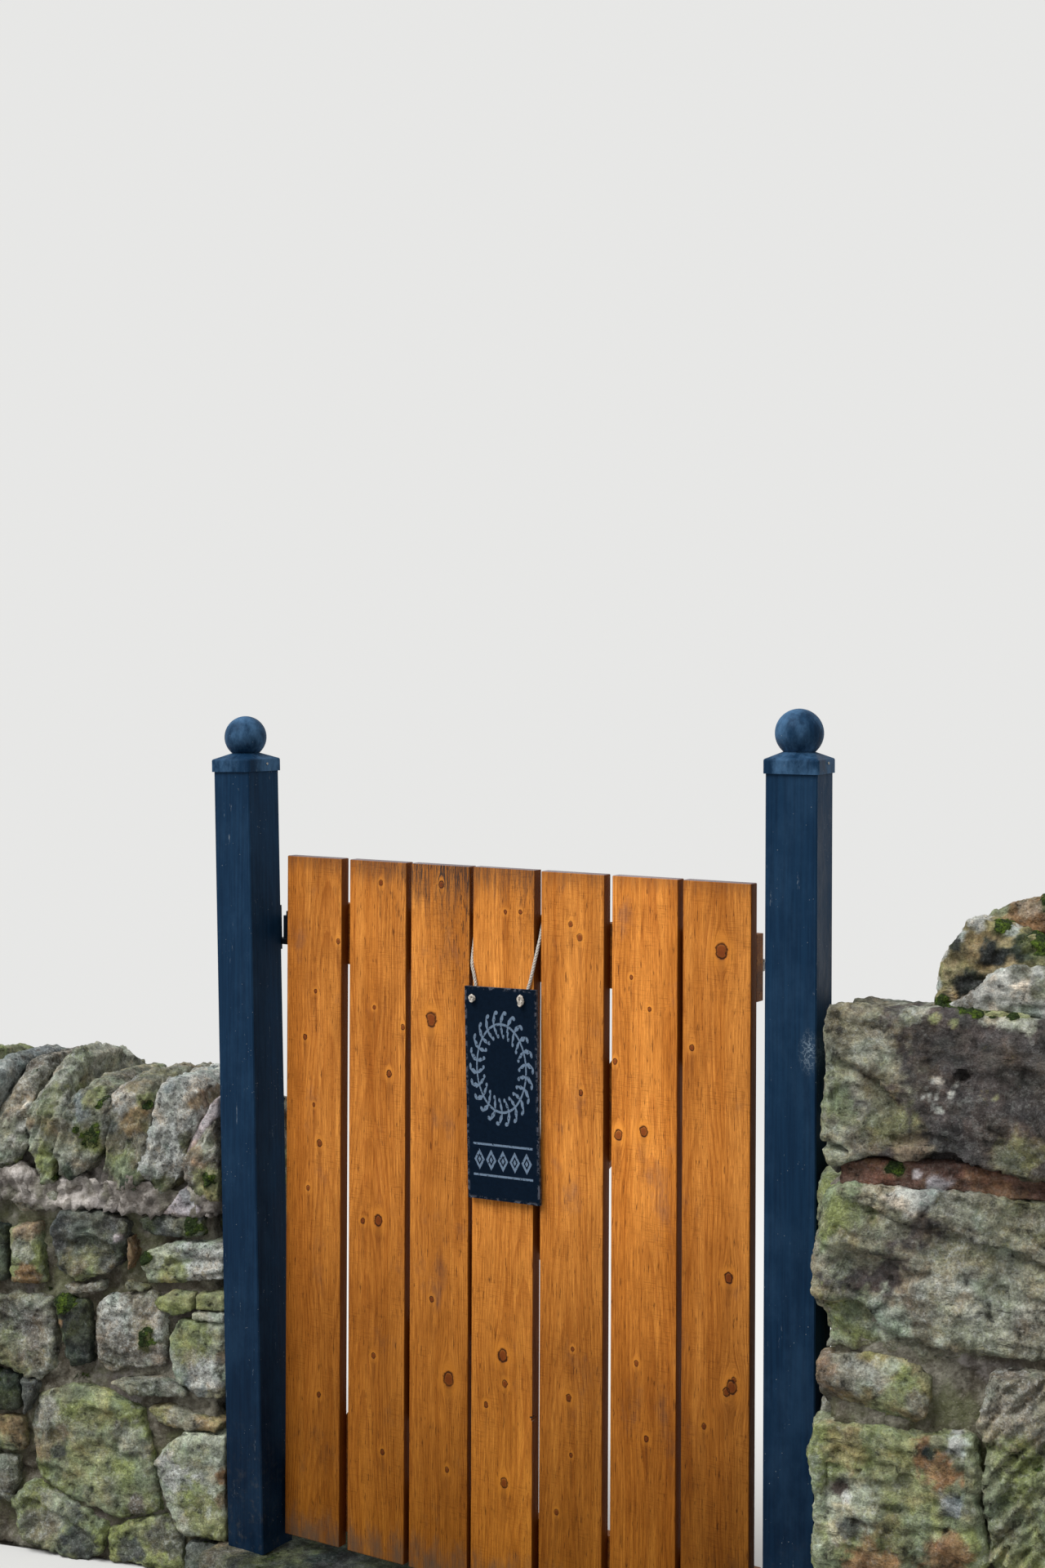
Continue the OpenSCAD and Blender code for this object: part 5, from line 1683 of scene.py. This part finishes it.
def build_slate(net, colour, pale):
    """Riven slate with a pale generic ornament: an oval wreath over a band of lozenges."""
    low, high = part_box("slate_sign")
    middle = (low + high) / 2
    shifted = net.vector("SUBTRACT", net.object_point(), (middle.x, 0, middle.z))
    level = net.turned(shifted, SLATE_TILT)
    x, _, z = net.parts(level)
    ny = net.parts(net.object_normal())[1]
    split = net.noise(level, 1.0, 5, 0.6, by=(14, 14, 5))
    fine = net.noise(level, 160, 4, 0.7)
    tone = net.mix(fine, net.tinted(colour, 0.55), net.tinted(colour, 1.5))
    # Wreath: leaves in pairs along an oval
    up = net.less(z, 0.044)
    oval_x, oval_z = net.math("DIVIDE", x, 0.049), net.math("DIVIDE", up, 0.074)
    reach = net.length(oval_x, oval_z)
    angle = net.math("ARCTAN2", oval_x, oval_z)
    turns = net.product(angle, 22 / (2 * math.pi))
    leaf = net.math("FRACT", net.total(turns, 0.5))
    out = net.less(reach, 1.0)
    lean = net.less(leaf, net.total(0.5, net.product(net.size(out), 1.1)))
    width = net.less(0.17, net.product(net.size(net.less(net.size(out), 0.13)), 1.2))
    width = net.total(width, 0.05)
    leaves = net.span(net.less(width, net.size(lean)), -0.01, 0.03)
    stem = net.fade(net.size(out), 0.020, 0.036)
    berry_angle = net.less(net.math("FRACT", turns), 0.5)
    berry_x = net.product(berry_angle, 0.24)
    berry_r = net.length(berry_x, net.less(net.size(out), 0.27))
    berries = net.fade(berry_r, 0.040, 0.055)
    wreath = net.most(net.most(leaves, stem), berries)
    # Band: lozenges between two lines
    band_z = net.size(net.total(z, 0.112))
    cell = net.size(net.less(net.math("FRACT", net.total(net.product(x, 1 / 0.0235), 0.5)), 0.5))
    lozenge = net.weighed((cell, 2.2), (band_z, 1 / 0.0185))
    shape = net.most(net.product(net.fade(lozenge, 0.92, 1.0), net.span(lozenge, 0.50, 0.58)),
                     net.fade(lozenge, 0.25, 0.32))
    line = net.fade(net.size(net.less(band_z, 0.026)), 0.0015, 0.0022)
    inside = net.fade(net.size(x), 0.0587, 0.0595)
    band = net.product(net.most(shape, line), inside)
    ornament = net.product(
        net.most(wreath, band), net.span(net.noise(level, 300, 3), 0.30, 0.46), net.span(ny, -0.5, -0.7))
    tone = net.mix(net.product(ornament, 0.9), tone, pale)
    edge = net.span(ny, -0.75, -0.4, 0.0, 0.9)
    tone = net.mix(edge, tone, net.mix(
        net.span(fine, 0.42, 0.60), (0.020, 0.026, 0.038), (0.150, 0.175, 0.200)))
    # Small pale chips along the split edges
    across = net.less(SLATE_HALF[0], net.size(x))
    tall = net.less(SLATE_HALF[1], net.size(z))
    rim = net.fade(net.math("MINIMUM", across, tall), 0.0015, 0.0058)
    chips = net.product(rim, net.span(net.noise(level, 120, 4, 0.7), 0.48, 0.57))
    tone = net.mix(net.product(chips, 0.8), tone, (0.100, 0.110, 0.140))
    height = net.weighed((split, 0.0022), (fine, 0.00045), (ornament, -0.0002), (chips, -0.0012))
    net.finish(tone, net.span(split, 0.3, 0.7, 0.62, 0.8), height, Specular_IOR_Level=0.03)


# Route of the twine in millimetres from the middle of the fourth board's top edge: out of one eye of
# the slate, up the board, through the gap beside it, across behind it, and down to the other eye
TWINE_POINTS = [
    (-53.2, -15.6, -221), (-53.2, -10, -221), (-53.2, -7.5, -220.8), (-53.2, -5, -220),
    (-53.2, -3.2, -217.5), (-53.2, -2.8, -213), (-53, -2.7, -200), (-57.5, -2.7, -180), (-61.8, -1.8, -167),
    (-63.8, 3, -152), (-64.8, 9, -128), (-65, 15, -100), (-65, 18.5, -85), (-64.5, 20.5, -79.5),
    (-62.5, 24, -78), (-58, 26.5, -79), (-50, 26.5, -79.5), (-25, 26.5, -79.5), (0, 26.5, -79.5),
    (25, 26.5, -79.5), (50, 26.5, -79.5), (60, 26.5, -79), (65.5, 24, -78), (67.5, 20.5, -79.5),
    (68.2, 18.5, -84), (69, 12, -97), (69.5, 6, -113), (67, 2, -131), (63.2, -1, -152), (58.4, -2.7, -176),
    (52, -2.7, -197), (46.5, -2.8, -208), (44.4, -3.2, -212.8), (43.9, -5, -215.4), (43.8, -7.5, -216.2),
    (43.8, -10, -216.2), (43.8, -15.6, -216.2),
]


def build_twine(net):
    """Pale jute, darker between its fibres."""
    point = net.object_point()
    fibre = net.noise(point, 1.0, 3, 0.7, by=(900, 900, 500))
    dirt = net.noise(point, 70, 4, 0.6)
    tone = net.mix(net.span(fibre, 0.3, 0.7), (0.360, 0.320, 0.270), (0.86, 0.81, 0.74))
    tone = net.mix(net.span(dirt, 0.54, 0.74, 0.0, 0.4), tone, (0.20, 0.165, 0.120))
    net.finish(tone, 0.95, net.product(fibre, 0.0005), Specular_IOR_Level=0.2)


# Points along a strand for each turn that it makes
STEPS_A_TURN = 12


def along_route(points, step):
    """Evenly spaced points along a route."""
    route = [points[0]]
    left = step
    for a, b in zip(points, points[1:]):
        gap = (b - a).length
        done = 0.0
        while gap - done >= left:
            done += left
            route.append(a.lerp(b, done / gap))
            left = step
        left -= gap - done
    return route


def rounded_route(points):
    """The route with its corners cut twice, as laid twine runs."""
    for _ in range(2):
        cut_route = [points[0]]
        for a, b in zip(points, points[1:]):
            cut_route += [a.lerp(b, 0.25), a.lerp(b, 0.75)]
        points = cut_route + [points[-1]]
    return points


def strand(name, points, radius):
    """A thin tube through points."""
    curve = bpy.data.curves.new(name, "CURVE")
    curve.dimensions = "3D"
    curve.bevel_depth = radius
    curve.bevel_resolution = 2
    curve.use_fill_caps = True
    line = curve.splines.new("POLY")
    line.points.add(len(points) - 1)
    for place, point in zip(line.points, points):
        place.co = (*point, 1.0)
    obj = bpy.data.objects.new(name, curve)
    bpy.context.scene.collection.objects.link(obj)
    only(obj)
    bpy.ops.object.convert(target="MESH")
    return bpy.context.active_object


def laid_twine(name, points, radius, lay):
    """Three strands wound round each other along a route."""
    route = along_route(rounded_route(points), lay / STEPS_A_TURN)
    strands = []
    side = Vector((1, 0, 0))
    sides = []
    for number in range(len(route)):
        ahead = (route[min(number + 1, len(route) - 1)] - route[max(number - 1, 0)]).normalized()
        side = (side - ahead * side.dot(ahead)).normalized()
        sides.append((side.copy(), ahead.cross(side)))
    for turn in range(3):
        winding = []
        for number, (point, (across, other)) in enumerate(zip(route, sides)):
            angle = 2 * math.pi * (number / STEPS_A_TURN + turn / 3)
            winding.append(point + (across * math.cos(angle) + other * math.sin(angle)) * radius * 0.86)
        strands.append(strand(f"{name}_{turn}", winding, radius))
    return joined(name, strands)


def knot_route(centre, size, drop):
    """An overhand knot in front of the slate: two loops of twine round the end that comes through."""
    points = []
    steps = 36
    for number in range(steps + 1):
        angle = number / steps * 4 * math.pi
        wide = size * (0.40 + 0.22 * math.cos(angle * 1.5))
        points.append(centre + Vector((
            wide * math.cos(angle), -size * 0.25 * math.sin(angle * 1.5) - size * 0.1,
            size * drop * (0.75 * math.sin(angle)) + size * 0.12 * math.cos(angle * 0.5))))
    return points


class GATEWAY_OT_sign(bpy.types.Operator):
    """Hang the slate on its twine, knotted in front of the two holes"""
    bl_idname = "gateway.sign"
    bl_label = "Slate and twine"

    def execute(self, context):
        sign = context.scene.sign
        riven = material("riven slate", build_slate, sign.slate, sign.ornament)
        dressed(bpy.data.objects["slate_sign"], riven)
        middle = Vector((board_boxes[3][0].x + board_w / 2, 0, gate_high_z))
        points = [middle + Vector(point) / 1000 for point in TWINE_POINTS]
        pieces = [laid_twine("twine_run", points[1:-1], sign.strand * 0.78, sign.lay)]
        for number, (end, drop) in enumerate(((points[0], 0.8), (points[-1], 1.35))):
            centre = end + Vector((0, 0.0012, -0.001 if number else 0))
            knot = knot_route(centre, 0.0080, drop)
            pieces.append(laid_twine(f"twine_knot_{number}", knot, sign.strand * 0.58, sign.lay))
        hanging = joined("jute_twine", pieces)
        smooth(hanging, 60)
        finished(hanging, GATE, material("jute", build_twine), "twine", "twine")
        return {"FINISHED"}


# Stage

def build_floor(net, colour):
    """A plain floor that turns to the colour of the backdrop far from the object, for the camera only.
    It throws little light back up, as the dark ground of a yard does."""
    x, y, _ = net.parts(net.object_point())
    distance = net.length(x, y)
    rays = net.node("ShaderNodeLightPath").outputs
    share = net.product(net.span(distance, 2.0, 5.0), rays["Is Camera Ray"])
    dim = net.glazed(rays["Is Diffuse Ray"], colour, 0.35)
    plain = net.node("ShaderNodeBsdfDiffuse", {"Color": dim})
    glow = net.node("ShaderNodeEmission", {"Color": BACKDROP, "Strength": 1.0})
    mixed = net.node("ShaderNodeMixShader", {0: share, 1: plain.outputs[0], 2: glow.outputs[0]})
    net.node("ShaderNodeOutputMaterial", {"Surface": mixed.outputs[0]})


BACKDROP = (0.80, 0.80, 0.79)


def build_world(strength):
    """Even light from all sides, with a plain pale backdrop for the camera and for reflections."""
    world = bpy.data.worlds.new("studio")
    bpy.context.scene.world = world
    world.use_nodes = True
    world.node_tree.nodes.clear()
    net = Net(world.node_tree)
    rays = net.node("ShaderNodeLightPath").outputs
    shown = net.most(rays["Is Camera Ray"], net.most(rays["Is Glossy Ray"], rays["Is Transmission Ray"]))
    light = net.node("ShaderNodeBackground", {"Color": 1.0, "Strength": strength})
    backdrop = net.node("ShaderNodeBackground", {"Color": BACKDROP, "Strength": 1.0})
    mixed = net.node("ShaderNodeMixShader", {0: shown, 1: light.outputs[0], 2: backdrop.outputs[0]})
    net.node("ShaderNodeOutputWorld", {"Surface": mixed.outputs[0]})


class GATEWAY_OT_stage(bpy.types.Operator):
    """Set the floor, the soft lights and the camera"""
    bl_idname = "gateway.stage"
    bl_label = "Stage"

    def execute(self, context):
        stage = context.scene.stage
        bpy.ops.object.select_all(action="DESELECT")
        bpy.ops.mesh.primitive_circle_add(vertices=96, radius=30, fill_type="NGON")
        floor = context.active_object
        floor.name = "floor"
        floor.data.materials.append(material("floor", build_floor, stage.floor))
        build_world(stage.sky)
        bpy.ops.object.light_add(type="SUN", rotation=(math.radians(32), math.radians(-20), 0))
        sun = context.active_object
        sun.name = "soft_key"
        sun.data.energy = stage.key
        sun.data.angle = math.radians(35)
        # Solved from the edges of the boards, posts, caps and balls
        bpy.ops.object.camera_add(
            location=(1.97715, -3.09577, 1.64892),
            rotation=(math.radians(90), -0.004, math.radians(32.094)))
        camera = context.active_object
        camera.data.lens = 50
        camera.data.sensor_width = 36
        camera.data.shift_y = -0.0722
        context.scene.camera = camera
        context.scene.view_settings.view_transform = "Standard"
        return {"FINISHED"}


class GATEWAY_PT_panel(bpy.types.Panel):
    """Lists the pieces of the gateway"""
    bl_label = "Gateway"
    bl_space_type = "VIEW_3D"
    bl_region_type = "UI"
    bl_category = "Gateway"

    def draw(self, context):
        for piece in PIECES:
            self.layout.operator(piece.bl_idname)


SETTINGS = [
    ("walls", WallSettings), ("timber", TimberSettings), ("metal", MetalSettings),
    ("sign", SignSettings), ("stage", StageSettings),
]
PIECES = [
    GATEWAY_OT_stage, GATEWAY_OT_left_wall, GATEWAY_OT_coping, GATEWAY_OT_right_wall, GATEWAY_OT_top_course,
    GATEWAY_OT_copes, GATEWAY_OT_threshold, GATEWAY_OT_boards, GATEWAY_OT_ledges, GATEWAY_OT_ironwork,
    GATEWAY_OT_sign,
]


def register():
    for name, kind in SETTINGS:
        bpy.utils.register_class(kind)
        setattr(bpy.types.Scene, name, PointerProperty(type=kind))
    for kind in PIECES + [GATEWAY_PT_panel]:
        bpy.utils.register_class(kind)


def unregister():
    for kind in reversed(PIECES + [GATEWAY_PT_panel]):
        bpy.utils.unregister_class(kind)
    for name, kind in reversed(SETTINGS):
        delattr(bpy.types.Scene, name)
        bpy.utils.unregister_class(kind)


def main():
    register()
    for piece in PIECES:
        module, name = piece.bl_idname.split(".")
        getattr(getattr(bpy.ops, module), name)()


if __name__ == "__main__":
    main()
